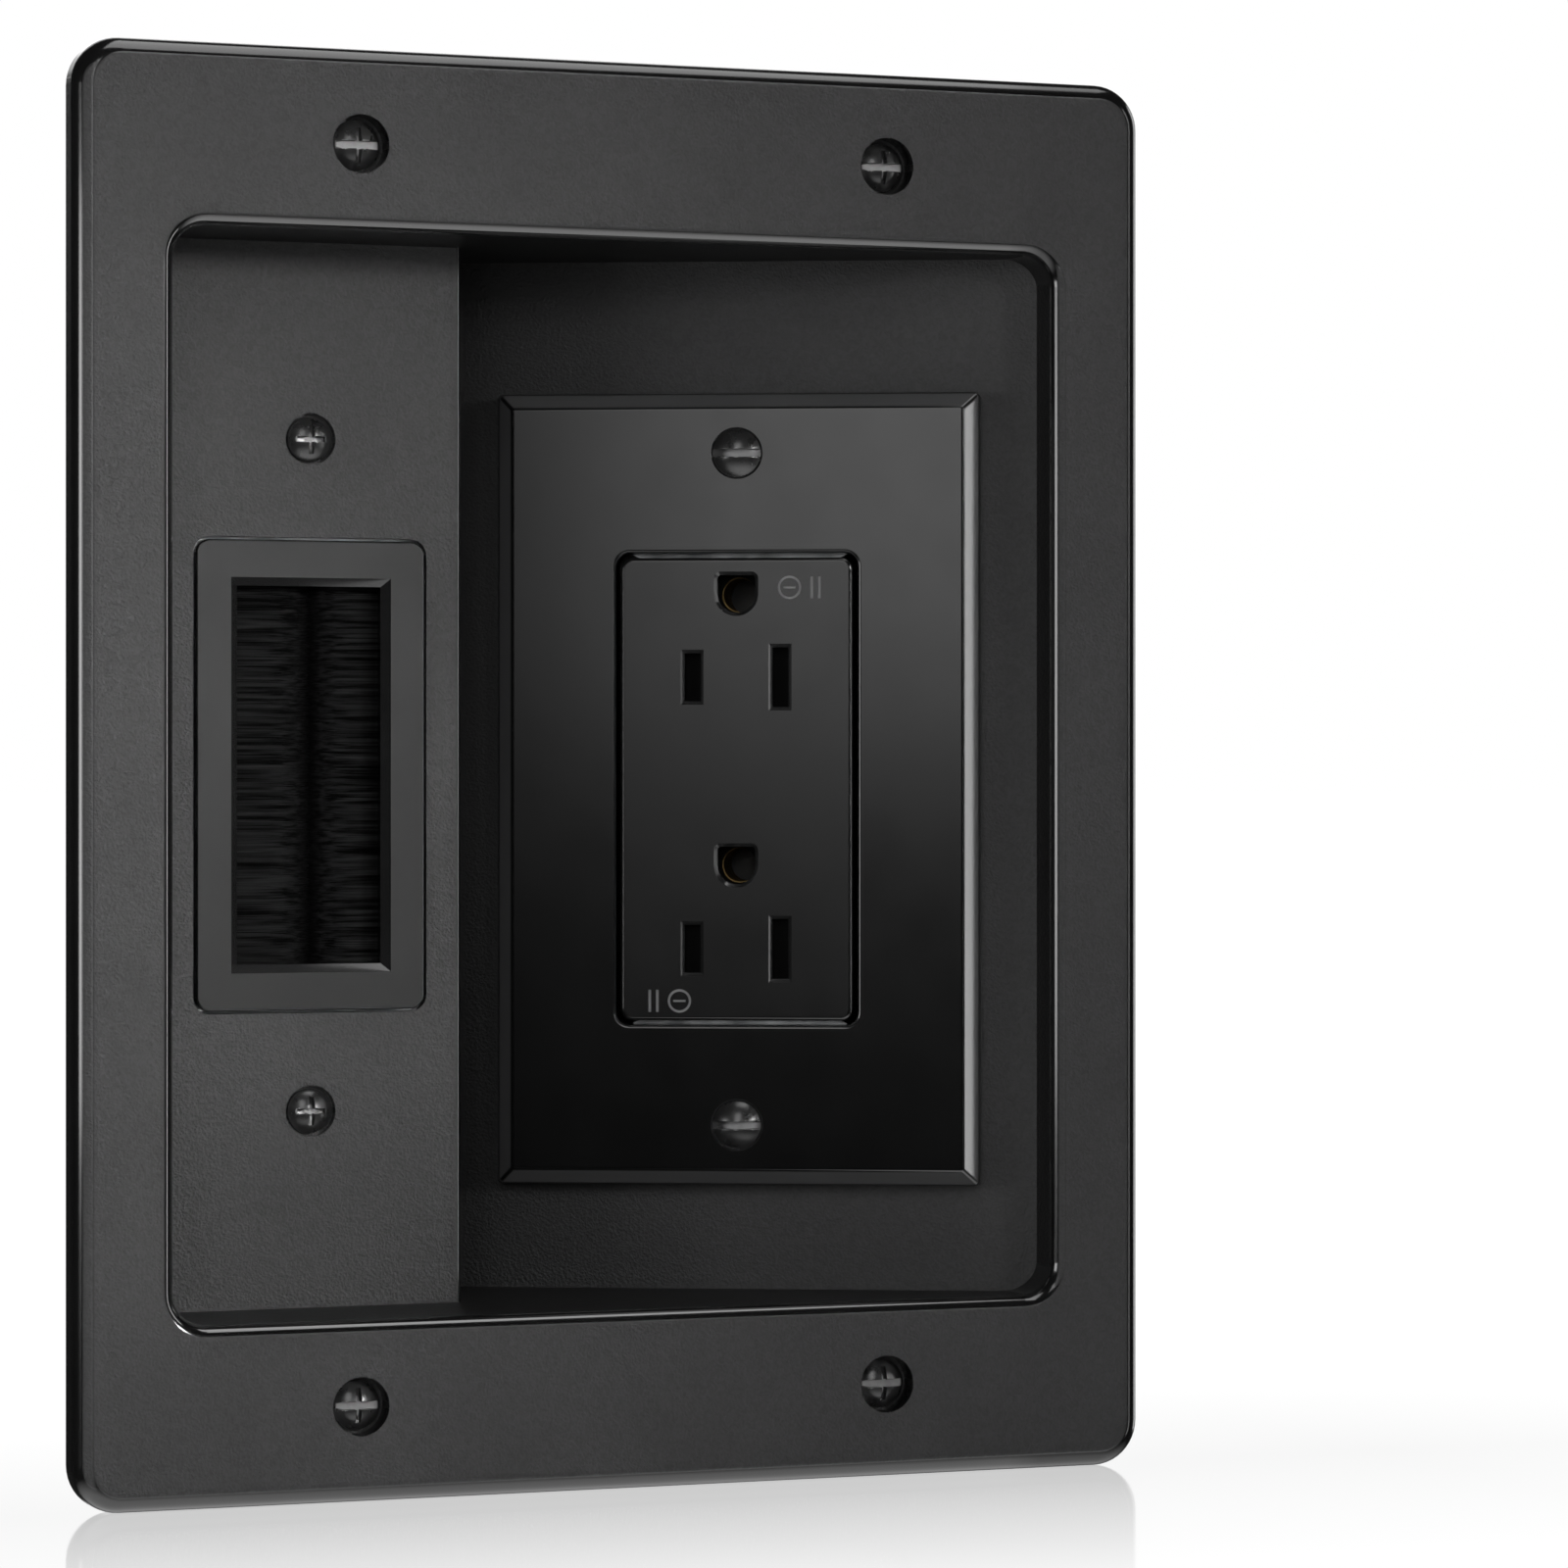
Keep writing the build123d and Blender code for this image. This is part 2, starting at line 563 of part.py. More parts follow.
def wall_plate():
    """Plate with mitred bevels around a rectangular opening, hollow behind."""
    half_x, half_y = PLATE_WIDTH / 2, PLATE_HEIGHT / 2
    plate = block((-half_x, half_x), (-half_y, half_y), (SEAT_GAP, PLATE_THICKNESS))
    plate = chamfer(plate.edges().group_by(Axis.Z)[-1], PLATE_BEVEL)
    plate = fillet(plate.edges().filter_by(lambda edge: edge.center().Z > 1), PLATE_EDGE_ROUND)
    inner_x, inner_y = PLATE_WIDTH - 2 * PLATE_WALL, PLATE_HEIGHT - 2 * PLATE_WALL
    hollow = slab(inner_x, inner_y, 1, SEAT_GAP - 1, PLATE_HOLLOW - PLATE_WALL)
    hollow += slab(inner_x - 2 * PLATE_BEVEL, inner_y - 2 * PLATE_BEVEL, 1, 0, PLATE_HOLLOW)
    open_x, open_y = PLATE_OPENING
    collar_x, collar_y = open_x + COLLAR_MARGIN, open_y + COLLAR_MARGIN
    collar = slab(collar_x, collar_y, 1.5, STRAP_THICKNESS + 0.2, PLATE_HOLLOW + 0.1)
    plate = plate - hollow + collar
    plate -= slab(open_x, open_y, PLATE_OPENING_CORNER, -1, PLATE_THICKNESS + 1)
    rim = [
        edge
        for edge in plate.edges().filter_by_position(Axis.Z, PLATE_THICKNESS - 0.01, PLATE_THICKNESS + 0.01)
        if abs(edge.center().X) <= open_x / 2 + 0.01 and abs(edge.center().Y) <= open_y / 2 + 0.01
    ]
    plate = fillet(rim, PLATE_OPENING_ROUND)
    for y in (-PLATE_SCREW_Y, PLATE_SCREW_Y):
        plate += rod(PLATE_BOSS_RADIUS, STRAP_THICKNESS + SEAT_GAP, PLATE_THICKNESS - 0.5, 0, y)
        hole, mouth = MACHINE_SCREW_RADIUS + PLATE_HOLE_GAP, PLATE_HEAD_RADIUS + PLATE_HOLE_GAP
        plate -= rod(hole, 0, PLATE_THICKNESS + 1, 0, y)
        plate -= Pos(0, y, PLATE_THICKNESS - COUNTERSINK_DEPTH / 2) * Cone(hole, mouth, COUNTERSINK_DEPTH)
    return plate


def plate_screws():
    """Two slotted oval-head screws that hold the plate to the strap."""
    return [
        oval_screw(PLATE_HEAD_RADIUS, 1.9, 1.5, MACHINE_SCREW_RADIUS, 12.0, 0.95, y, PLATE_THICKNESS - 0.15)
        for y in (-PLATE_SCREW_Y, PLATE_SCREW_Y)
    ]


# ---------------------------------------------------------------- receptacle


def corner_points():
    """The four places where the receptacle's own screws run."""
    return [(x, y) for x in (-CORNER_SCREW_X, CORNER_SCREW_X) for y in (-CORNER_SCREW_Y, CORNER_SCREW_Y)]


def blade_slots(low, high, grow=0.0):
    """The short left slot and the tall right slot of both outlets."""
    width = SLOT_WIDTH + grow
    return [
        block((x - width / 2, x + width / 2), (y - (tall + grow) / 2, y + (tall + grow) / 2), (low, high))
        for y in SLOT_YS
        for x, tall in ((-SLOT_X, HOT_SLOT), (SLOT_X, NEUTRAL_SLOT))
    ]


def ground_holes(low, high):
    """D-shaped ground holes: flat above, with rounded corners, and round below."""
    hole = rod(GROUND_RADIUS, low, high)
    top = block((-GROUND_RADIUS, GROUND_RADIUS), (0, GROUND_RADIUS), (low, high))
    top = fillet(top.edges().filter_by(Axis.Z).group_by(Axis.Y)[-1], GROUND_TOP_ROUND)
    return [Pos(0, y, 0) * (hole + top) for y in GROUND_YS]


def pictogram(place, turn):
    """Two shallow engraved bars beside a small ring: a generic mark for a shuttered outlet."""
    cut = (-MARK_DEPTH, 1)
    ring = rod(1.7, *cut) - rod(1.35, -1, 2)
    marks = ring + block((-0.9, 0.9), (-0.15, 0.15), cut)
    for offset in (3.2, 4.3):
        marks += block((offset - 0.2, offset + 0.2), (-1.6, 1.6), cut)
    return Pos(*place, FACE_FRONT) * Rot(0, 0, turn) * marks


def receptacle_face():
    """Front of the receptacle: a shallow cover with the outlets' holes."""
    face = slab(BODY_WIDTH, BODY_HEIGHT, FACE_CORNER, 0, FACE_FRONT)
    face = fillet(face.edges().group_by(Axis.Z)[-1], FACE_EDGE_ROUND)
    for tool in blade_slots(3, FACE_FRONT + 1) + ground_holes(3, FACE_FRONT + 1):
        face -= tool
    rims = [
        edge
        for edge in face.edges().filter_by_position(Axis.Z, FACE_FRONT - 0.01, FACE_FRONT + 0.01)
        if abs(edge.center().X) < BODY_WIDTH / 2 - 2 and abs(edge.center().Y) < BODY_HEIGHT / 2 - 1.5
    ]
    face = chamfer(rims, SLOT_CHAMFER)
    cavity_x, cavity_y = FACE_CAVITY
    cavity = block((-cavity_x / 2, cavity_x / 2), (-cavity_y / 2, cavity_y / 2), (-1, FACE_WALL_BACK))
    for x, y in corner_points():
        cavity -= rod(CORNER_BOSS, -1, FACE_WALL_BACK, x, y)
    face -= cavity
    spine = SPINE_HALF + 0.1
    face -= block((-spine, spine), (-BODY_HEIGHT, BODY_HEIGHT), (-1, STRAP_THICKNESS + SEAT_GAP))
    for x, y in corner_points():
        face -= rod(CORNER_PILOT, -1, FACE_WALL_BACK - 0.4, x, y)
    face -= pictogram(MARK_UPPER, 0)
    face -= pictogram(MARK_LOWER, 180)
    return face


def shutter_carrier():
    """Plate behind the face that the shutters slide on, with their rails and spring stops."""
    low, high = STRAP_THICKNESS + SEAT_GAP, SHUTTER_BACK - 0.1
    plate = slab(FACE_CAVITY[0] - 0.4, FACE_CAVITY[1] - 0.4, 0.5, low, high)
    for tool in blade_slots(low - 1, high + 1, 0.4):
        plate -= tool
    for y in GROUND_YS:
        plate -= rod(CARRIER_GROUND_HOLE, low - 1, high + 1, 0, y)
    for x, y in corner_points():
        plate -= rod(CORNER_BOSS + 0.2, low - 1, high + 1, x, y)
    inner = SHUTTER_HALF_HEIGHT + 0.1
    for y in SLOT_YS:
        for edge in (y - inner - 1, y + inner):
            plate += block((-11, 11), (edge, edge + 1), (low, SHUTTER_FRONT))
        plate += block((SPRING_WALL_X, SPRING_WALL_X + 1), (y - 2.5, y + 2.5), (low, SHUTTER_FRONT))
    return plate


def shutter(y):
    """Sliding shutter that covers both blade slots until its windows move under them."""
    plate = block(
        (SHUTTER_LEFT, SHUTTER_RIGHT),
        (y - SHUTTER_HALF_HEIGHT, y + SHUTTER_HALF_HEIGHT),
        (SHUTTER_BACK, SHUTTER_FRONT),
    )
    for x, tall in ((-SLOT_X, HOT_SLOT), (SLOT_X, NEUTRAL_SLOT)):
        window = (x - SHUTTER_TRAVEL - SHUTTER_WINDOW_HALF, x - SHUTTER_TRAVEL + SHUTTER_WINDOW_HALF)
        plate -= block(window, (y - tall / 2 - 0.2, y + tall / 2 + 0.2), (0, 6))
    pocket = (y - SPRING_POCKET_HALF, y + SPRING_POCKET_HALF)
    return plate - block((SPRING_START, SHUTTER_RIGHT + 1), pocket, (0, SHUTTER_FRONT - 0.6))


def shutter_spring(y):
    """Folded wire spring between the shutter and its stop."""
    start, end = SPRING_START + 0.25, SPRING_WALL_X - 0.2
    points = [
        (start + (end - start) * step / SPRING_FOLDS, y + (SPRING_SWING if step % 2 else -SPRING_SWING))
        for step in range(SPRING_FOLDS + 1)
    ]
    wire = trace(Polyline(*points), line_width=SPRING_WIRE)
    return extrude(Pos(0, 0, 2.6) * wire, amount=1.0)


def receptacle_body():
    """Back body with a cavity for each contact and a recess on each side for the terminals."""
    body = slab(BODY_WIDTH, BODY_HEIGHT, FACE_CORNER, -BODY_DEPTH, -SEAT_GAP)
    for side in (-1, 1):
        body -= block((side * SIDE_RECESS_X, side * 20), (-26.5, 26.5), (-21, -5))
        for y in SLOT_YS:
            body -= block((side * 3.4, side * 9.2), (y - 5.6, y + 5.6), (-19, 1))
            body -= block((side * 9.0, side * 13.0), (y - 2.2, y + 2.2), (-19, -17.4))
        for y in TERMINAL_YS:
            body -= side_rod(2.3, side * 9.9, side * 13.0, y, TERMINAL_Z)
    for y in GROUND_YS:
        body -= rod(3.6, -13, 1, 0, y)
        body -= block((-4.4, 4.4), (y - 4.2, y + 4.2), (-0.9, 1))
    for x, y in corner_points():
        body -= rod(CORNER_HOLE, -BODY_DEPTH - 1, 1, x, y)
        body -= rod(CORNER_HEAD_SINK, -BODY_DEPTH - 1, -BODY_DEPTH + 1.6, x, y)
    return body


def receptacle_screws():
    """Four long screws, driven from behind, that hold the body, the strap and the face together."""
    head_height = 1.4
    screw = Rot(0, 180, 0) * pan_screw(2.1, head_height, 1.05, 27.5, slot=0, cross=1.4)
    return [Pos(x, y, -BODY_DEPTH + head_height + 0.2) * screw for x, y in corner_points()]


def mounting_strap():
    """Steel strap: two ears joined by a spine that carries the ground contacts."""
    ear_low, ear_high = BODY_HEIGHT / 2 + 0.15, EAR_END
    strap = block((-SPINE_HALF, SPINE_HALF), (-ear_low - 1, ear_low + 1), (0, STRAP_THICKNESS))
    for level in (-1, 1):
        middle = level * (ear_low + ear_high) / 2
        strap += slab(EAR_WIDTH, ear_high - ear_low, EAR_CORNER, 0, STRAP_THICKNESS, 0, middle)
        strap -= rod(MACHINE_SCREW_RADIUS + THREAD_GAP, -1, 2, 0, level * PLATE_SCREW_Y)
        y = level * YOKE_SCREW_Y
        strap -= extrude(Pos(0, y, -1) * SlotOverall(*EAR_SLOT), amount=3)
    for y in GROUND_YS:
        strap -= rod(3.0, -1, 2, 0, y)
    strap += block(TAB_X, TAB_Y, (-8.5, STRAP_THICKNESS))
    return strap - side_rod(MACHINE_SCREW_RADIUS + THREAD_GAP, -16, -12, GREEN_SCREW_Y, GREEN_SCREW_Z)


def side_contacts(side):
    """Brass strip with a blade grip for each outlet, a break-off bridge and two terminal holes."""
    strip = block([side * x for x in CONTACT_X], CONTACT_SPAN, (-19, -7))
    across = (side * 12, side * 14)
    for beside_bridge in ((-20, -14.5), (-11.5, -6)):
        strip -= block(across, (-CONTACT_BREAK_HALF, CONTACT_BREAK_HALF), beside_bridge)
    for y in TERMINAL_YS:
        strip -= side_rod(TERMINAL_HOLE, *across, y, TERMINAL_Z)
    for y in SLOT_YS:
        strip += block((side * GRIP_NEAR[0], side * 12.6), (y - 1.9, y + 1.9), (-18.6, -17.8))
        for near in GRIP_NEAR:
            leaf = (side * near, side * (near + GRIP_SHEET))
            strip += block(leaf, (y - GRIP_HALF, y + GRIP_HALF), (-18.6, -3))
    return strip


def ground_contact(y):
    """Split sleeve under a ground hole, with a square foot against the strap."""
    contact = rod(3.1, -12, -SEAT_GAP, 0, y)
    contact += block((-4.2, 4.2), (y - 4.0, y + 4.0), (-0.75, -SEAT_GAP))
    contact -= rod(GROUND_BORE_RADIUS, -13, 1, 0, y)
    return contact - block((-0.4, 0.4), (y, y + 3.5), (-13, -1.5))


def terminal_screws(side):
    """Two binding screws on one side of the receptacle."""
    screws = []
    for y in TERMINAL_YS:
        head = side_rod(TERMINAL_HEAD_RADIUS, side * 14.3, side * 16.4, y, TERMINAL_Z)
        head -= block((side * 15.4, side * 17), (y - 0.5, y + 0.5), (TERMINAL_Z - 4, TERMINAL_Z + 4))
        screws.append(head + side_rod(TERMINAL_SHANK_RADIUS, side * 10.1, side * 14.4, y, TERMINAL_Z))
    return screws


def pressure_plates(side):
    """Square washers that press back-fed wires against the contact strip."""
    return [
        block((side * 13.2, side * 14.25), (y - 4.3, y + 4.3), (TERMINAL_Z - 4.3, TERMINAL_Z + 4.3))
        - side_rod(2.15, side * 13, side * 15, y, TERMINAL_Z)
        for y in TERMINAL_YS
    ]


def green_ground_screw():
    """Ground terminal screw on the strap's tab."""
    head = side_rod(GREEN_HEAD_RADIUS, -16.8, -14.65, GREEN_SCREW_Y, GREEN_SCREW_Z)
    head -= block((-18, -15.9), (GREEN_SCREW_Y - 0.5, GREEN_SCREW_Y + 0.5), (-9, -1))
    return head + side_rod(MACHINE_SCREW_RADIUS, -14.7, -10.5, GREEN_SCREW_Y, GREEN_SCREW_Z)


def mounting_screws():
    """Two short machine screws through the strap's ears."""
    return [
        pan_screw(4.1, 2.6, MACHINE_SCREW_RADIUS, 19.05, slot=1.3, y=y, z=STRAP_THICKNESS)
        for y in (-YOKE_SCREW_Y, YOKE_SCREW_Y)
    ]


# ---------------------------------------------------------------- the parts


def save(name, shape, place=None):
    """Write one piece, or one group of like pieces, at its place."""
    pieces = shape if isinstance(shape, list) else [shape]
    solids = []
    for piece in pieces:
        placed = place.location * piece if place else piece
        solids.extend(placed.solids())
    whole = solids[0] if len(solids) == 1 else Compound(children=solids)
    export_step(whole, f"parts/{name}.step")


def main():
    os.makedirs("parts", exist_ok=True)
    save("recessed_frame", recessed_frame())
    save("rear_box", rear_box())
    save("cable_clamps", cable_clamps())
    save("cable_clamp_screws", cable_clamp_screws())
    save("box_screws", box_screws(), POCKET)
    for row, level in (("upper", 1), ("lower", -1)):
        for column, side in (("left", -1), ("right", 1)):
            save(f"clamp_screw_{row}_{column}", clamp_screw(side, level), WALL)
            save(f"clamp_wing_{row}_{column}", clamp_wing(side, level), WALL)

    save("brush_bezel", brush_bezel(), PANEL)
    save("brush_strap", brush_strap(), PANEL)
    save("brush_retainer", brush_retainer(), PANEL)
    save("brush_retainer_screws", brush_retainer_screws(), PANEL)
    save("brush_panel_screws", brush_panel_screws(), PANEL)
    for column, side in (("left", -1), ("right", 1)):
        save(f"brush_channel_{column}", brush_channel(side), PANEL)
        save(f"bristles_{column}", bristles(side), PANEL)

    save("wall_plate", wall_plate(), POCKET)
    save("plate_screws", plate_screws(), POCKET)
    save("receptacle_face", receptacle_face(), POCKET)
    save("shutter_carrier", shutter_carrier(), POCKET)
    save("receptacle_body", receptacle_body(), POCKET)
    save("receptacle_screws", receptacle_screws(), POCKET)
    save("mounting_strap", mounting_strap(), POCKET)
    save("mounting_screws", mounting_screws(), POCKET)
    save("green_ground_screw", green_ground_screw(), POCKET)
    for metal, contacts, side in (("brass", "line", -1), ("silver", "neutral", 1)):
        save(f"{contacts}_contacts", side_contacts(side), POCKET)
        save(f"{metal}_terminal_screws", terminal_screws(side), POCKET)
        save(f"{metal}_pressure_plates", pressure_plates(side), POCKET)
    for row, slot_y, ground_y in zip(("upper", "lower"), SLOT_YS, GROUND_YS):
        save(f"shutter_{row}", shutter(slot_y), POCKET)
        save(f"shutter_spring_{row}", shutter_spring(slot_y), POCKET)
        save(f"ground_contact_{row}", ground_contact(ground_y), POCKET)


main()
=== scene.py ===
import json
import random
from math import asin, cos, pi, radians, sin

import bmesh
import bpy
from mathutils import Matrix, Vector


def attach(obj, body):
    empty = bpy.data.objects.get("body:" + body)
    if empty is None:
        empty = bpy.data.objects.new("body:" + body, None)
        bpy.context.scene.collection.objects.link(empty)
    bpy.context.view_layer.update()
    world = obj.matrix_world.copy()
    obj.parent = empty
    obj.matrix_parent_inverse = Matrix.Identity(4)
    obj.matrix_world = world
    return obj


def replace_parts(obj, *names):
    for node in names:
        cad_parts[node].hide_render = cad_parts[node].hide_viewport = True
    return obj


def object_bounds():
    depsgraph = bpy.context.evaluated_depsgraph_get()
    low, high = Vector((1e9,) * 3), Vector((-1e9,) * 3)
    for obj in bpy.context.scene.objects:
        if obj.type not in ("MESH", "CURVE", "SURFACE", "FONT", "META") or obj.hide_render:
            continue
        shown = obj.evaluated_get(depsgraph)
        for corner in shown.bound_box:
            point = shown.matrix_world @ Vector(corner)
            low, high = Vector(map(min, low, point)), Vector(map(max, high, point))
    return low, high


# A recessed two-gang wall outlet: a cable brush on the left and a duplex receptacle on the slanted
# floor of a deeper pocket on the right. Metres, X right, Z up, Y into the wall.
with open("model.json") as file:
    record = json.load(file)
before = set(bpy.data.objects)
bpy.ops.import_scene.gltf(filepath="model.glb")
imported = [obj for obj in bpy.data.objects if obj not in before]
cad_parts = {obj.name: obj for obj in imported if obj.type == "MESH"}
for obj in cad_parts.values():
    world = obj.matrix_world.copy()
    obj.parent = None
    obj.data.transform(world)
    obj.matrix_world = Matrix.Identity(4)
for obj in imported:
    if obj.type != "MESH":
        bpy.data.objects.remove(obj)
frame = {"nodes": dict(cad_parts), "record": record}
cad_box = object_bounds()

MM = 0.001
SEED = 7

# Seats that the pieces are placed on: local x right, y up, z towards the room
TILT = radians(26.9)


def seat(x, y, z, tilt=0.0):
    """Matrix of a seat that faces the room, turned by tilt to face further left."""
    axes = Matrix(((cos(tilt), 0, -sin(tilt)), (-sin(tilt), 0, -cos(tilt)), (0, 1, 0)))
    return Matrix.Translation(Vector((x, y, z)) * MM) @ axes.to_4x4()


def at(x, y, z):
    """Matrix for a place in millimetres on a seat."""
    return Matrix.Translation(Vector((x, y, z)) * MM)


WALL = seat(0, 0, 0)
PANEL = seat(-39.7, 15.5, 0)
POCKET = seat(26.9, 20.4, -2.0, TILT)

LEVELS = (-1, 1)
ROWS = (("upper", 1), ("lower", -1))
COLUMNS = (("left", -1), ("right", 1))


def placed(name, data):
    """New object in the scene."""
    made = bpy.data.objects.new(name, data)
    bpy.context.scene.collection.objects.link(made)
    return made


# ---------------------------------------------------------------- node helpers


class Nodes:
    """A node tree, with short calls for the nodes used here."""

    def __init__(self, tree):
        self.tree = tree
        self.place = self.add("ShaderNodeTexCoord").outputs

    def add(self, kind, **settings):
        node = self.tree.nodes.new(kind)
        for key, value in settings.items():
            setattr(node, key, value)
        return node

    def link(self, value, socket):
        """Feeds socket from another socket, or sets it to a constant."""
        if isinstance(value, bpy.types.NodeSocket):
            self.tree.links.new(value, socket)
        else:
            socket.default_value = value

    def math(self, operation, a, b=0.0, clamp=False):
        node = self.add("ShaderNodeMath", operation=operation, use_clamp=clamp)
        self.link(a, node.inputs[0])
        self.link(b, node.inputs[1])
        return node.outputs[0]

    def dot(self, vector, direction):
        node = self.add("ShaderNodeVectorMath", operation="DOT_PRODUCT")
        self.link(vector, node.inputs[0])
        node.inputs[1].default_value = direction
        return node.outputs["Value"]

    def span(self, value, low, high, new_low, new_high, smooth=False):
        """Goes from new_low to new_high as value goes from low to high, and stays at the ends beyond."""
        node = self.add("ShaderNodeMapRange", interpolation_type="SMOOTHSTEP" if smooth else "LINEAR")
        for key, entry in (
            ("Value", value), ("From Min", low), ("From Max", high), ("To Min", new_low), ("To Max", new_high)
        ):
            self.link(entry, node.inputs[key])
        return node.outputs[0]

    def rise(self, value, limits):
        """0 below the lower limit and 1 above the upper one."""
        return self.span(value, *limits, 0, 1)

    def fall(self, value, limits):
        """1 below the lower limit and 0 above the upper one."""
        return self.span(value, *limits, 1, 0)

    def both(self, first, second):
        """Product, which is 1 where both masks are 1."""
        return self.math("MULTIPLY", first, second)

    def mix_shader(self, factor, first, second):
        node = self.add("ShaderNodeMixShader")
        for value, socket in zip((factor, first, second), node.inputs):
            self.link(value, socket)
        return node.outputs[0]


class Shader(Nodes):
    """A material with a Principled shader. Sizes and places are in millimetres."""

    SOCKETS = {
        "color": "Base Color", "rough": "Roughness", "metal": "Metallic", "specular": "Specular IOR Level",
        "coat": "Coat Weight", "coat_rough": "Coat Roughness", "coat_ior": "Coat IOR",
    }

    def __init__(self, name):
        self.name = name
        self.material = bpy.data.materials.new(name)
        self.material.use_nodes = True
        super().__init__(self.material.node_tree)
        self.bsdf = self.tree.nodes["Principled BSDF"]

    def noise(self, size, detail=2.0, rough=0.5, distortion=0.0, stretch=(1, 1, 1)):
        """Noise whose features are about size across."""
        mapping = self.add("ShaderNodeMapping")
        mapping.inputs["Scale"].default_value = stretch
        self.link(self.place["Object"], mapping.inputs["Vector"])
        node = self.add("ShaderNodeTexNoise")
        self.link(mapping.outputs[0], node.inputs["Vector"])
        node.inputs["Scale"].default_value = 1 / (size * MM)
        node.inputs["Detail"].default_value = detail
        node.inputs["Roughness"].default_value = rough
        node.inputs["Distortion"].default_value = distortion
        return node.outputs[0]

    def cells(self, size, feature="SMOOTH_F1"):
        """Outputs of Voronoi cells about size across."""
        node = self.add("ShaderNodeTexVoronoi", feature=feature)
        self.link(self.place["Object"], node.inputs["Vector"])
        node.inputs["Scale"].default_value = 1 / (size * MM)
        if feature == "SMOOTH_F1":
            node.inputs["Smoothness"].default_value = 0.6
        return node.outputs

    def turned(self, directions):
        """Cosine of the angle between the surface's normal and the nearest of the directions."""
        result = self.dot(self.place["Normal"], directions[0])
        for direction in directions[1:]:
            result = self.math("MAXIMUM", result, self.dot(self.place["Normal"], direction))
        return result

    def facing(self, directions, low, high):
        """1 where the surface faces one of the directions, and 0 away from them, by the cosine."""
        return self.span(self.turned(directions), low, high, 0, 1, smooth=True)

    def along(self, direction):
        """How far a point is along direction."""
        return self.dot(self.place["Object"], [part / MM for part in direction])

    def blend(self, factor, first, second):
        """Colour that goes from first to second as factor goes from 0 to 1."""
        node = self.add("ShaderNodeMix", data_type="RGBA")
        for value, socket in ((factor, 0), (first, 6), (second, 7)):
            self.link(value, node.inputs[socket])
        return node.outputs[2]

    def mottled(self, tones, size):
        """Colour that wanders softly between two greys."""
        factor = self.span(self.noise(size, detail=3), 0.35, 0.65, 0, 1)
        return self.blend(factor, grey(tones[0]), grey(tones[1]))

    def bump(self, height, depth, strength):
        """Surface relief of the given depth."""
        node = self.add("ShaderNodeBump")
        node.inputs["Strength"].default_value = strength
        node.inputs["Distance"].default_value = depth * MM
        self.link(height, node.inputs["Height"])
        self.link(node.outputs[0], self.bsdf.inputs["Normal"])

    def peel(self, size, depth):
        """Faint orange peel with a finer grit over it."""
        wave = self.noise(size, detail=2, distortion=0.4)
        grit = self.noise(0.09, detail=1)
        self.bump(self.math("ADD", wave, self.both(grit, 0.25)), depth, 0.6)

    def wander(self, size, detail, low, high):
        """Value that wanders between low and high in patches about size across."""
        return self.span(self.noise(size, detail=detail), 0.3, 0.7, low, high)

    def set(self, **values):
        for key, value in values.items():
            self.link(value, self.bsdf.inputs[self.SOCKETS[key]])


def grey(value):
    """Neutral colour, very slightly blue."""
    return (value, value, value * 1.01, 1.0)


# ---------------------------------------------------------------- materials

FACES_ROOM = (0.0, -1.0, 0.0)
FACES_POCKET = (-sin(TILT), -cos(TILT), 0.0)
FACES_BACK = (0.0, 1.0, 0.0)
FACES_ASIDE = [(1, 0, 0), (-1, 0, 0), (0, 0, 1), (0, 0, -1)]

# Where the frame's finish changes, as the start and end of each step in millimetres. The panel steps bound
# the recessed panel, which is painted lighter as painted light, and the pocket steps bound the far end of the
# pocket floor, which is painted darker as painted shade
OUTER_EDGE_X, OUTER_EDGE_Z = (73, 75), (93, 95)
RIGHT_RIM_X = (58, 63)
LIT_PANEL_DEPTH, LIT_PANEL_END_X = (8, 12), (-14, -12)
SHADED_POCKET_DEPTH = (22, 38)

# Where the brush's back layers begin to be painted near black, as painted shade inside the brush, and the
# floor of the engraved marks, reaching a little either way
SHADED_BRISTLE_DEPTH = (19.2, 20.6)
MARK_FLOOR = (POCKET @ Vector((0, 0, 6.55 * MM))).dot(Vector(FACES_POCKET)) / MM
MARK_REACH, MARK_BLUR = 0.12, 0.03


def leather_grain(s):
    """Broad wrinkles, and the full relief of wrinkles, pebbles and grit."""
    broad = s.noise(1.1, detail=3, rough=0.6, distortion=1.4)
    grain = s.math("ADD", broad, s.both(s.cells(0.42)["Distance"], 0.55))
    return broad, s.math("ADD", grain, s.both(s.noise(0.16, detail=2), 0.3))


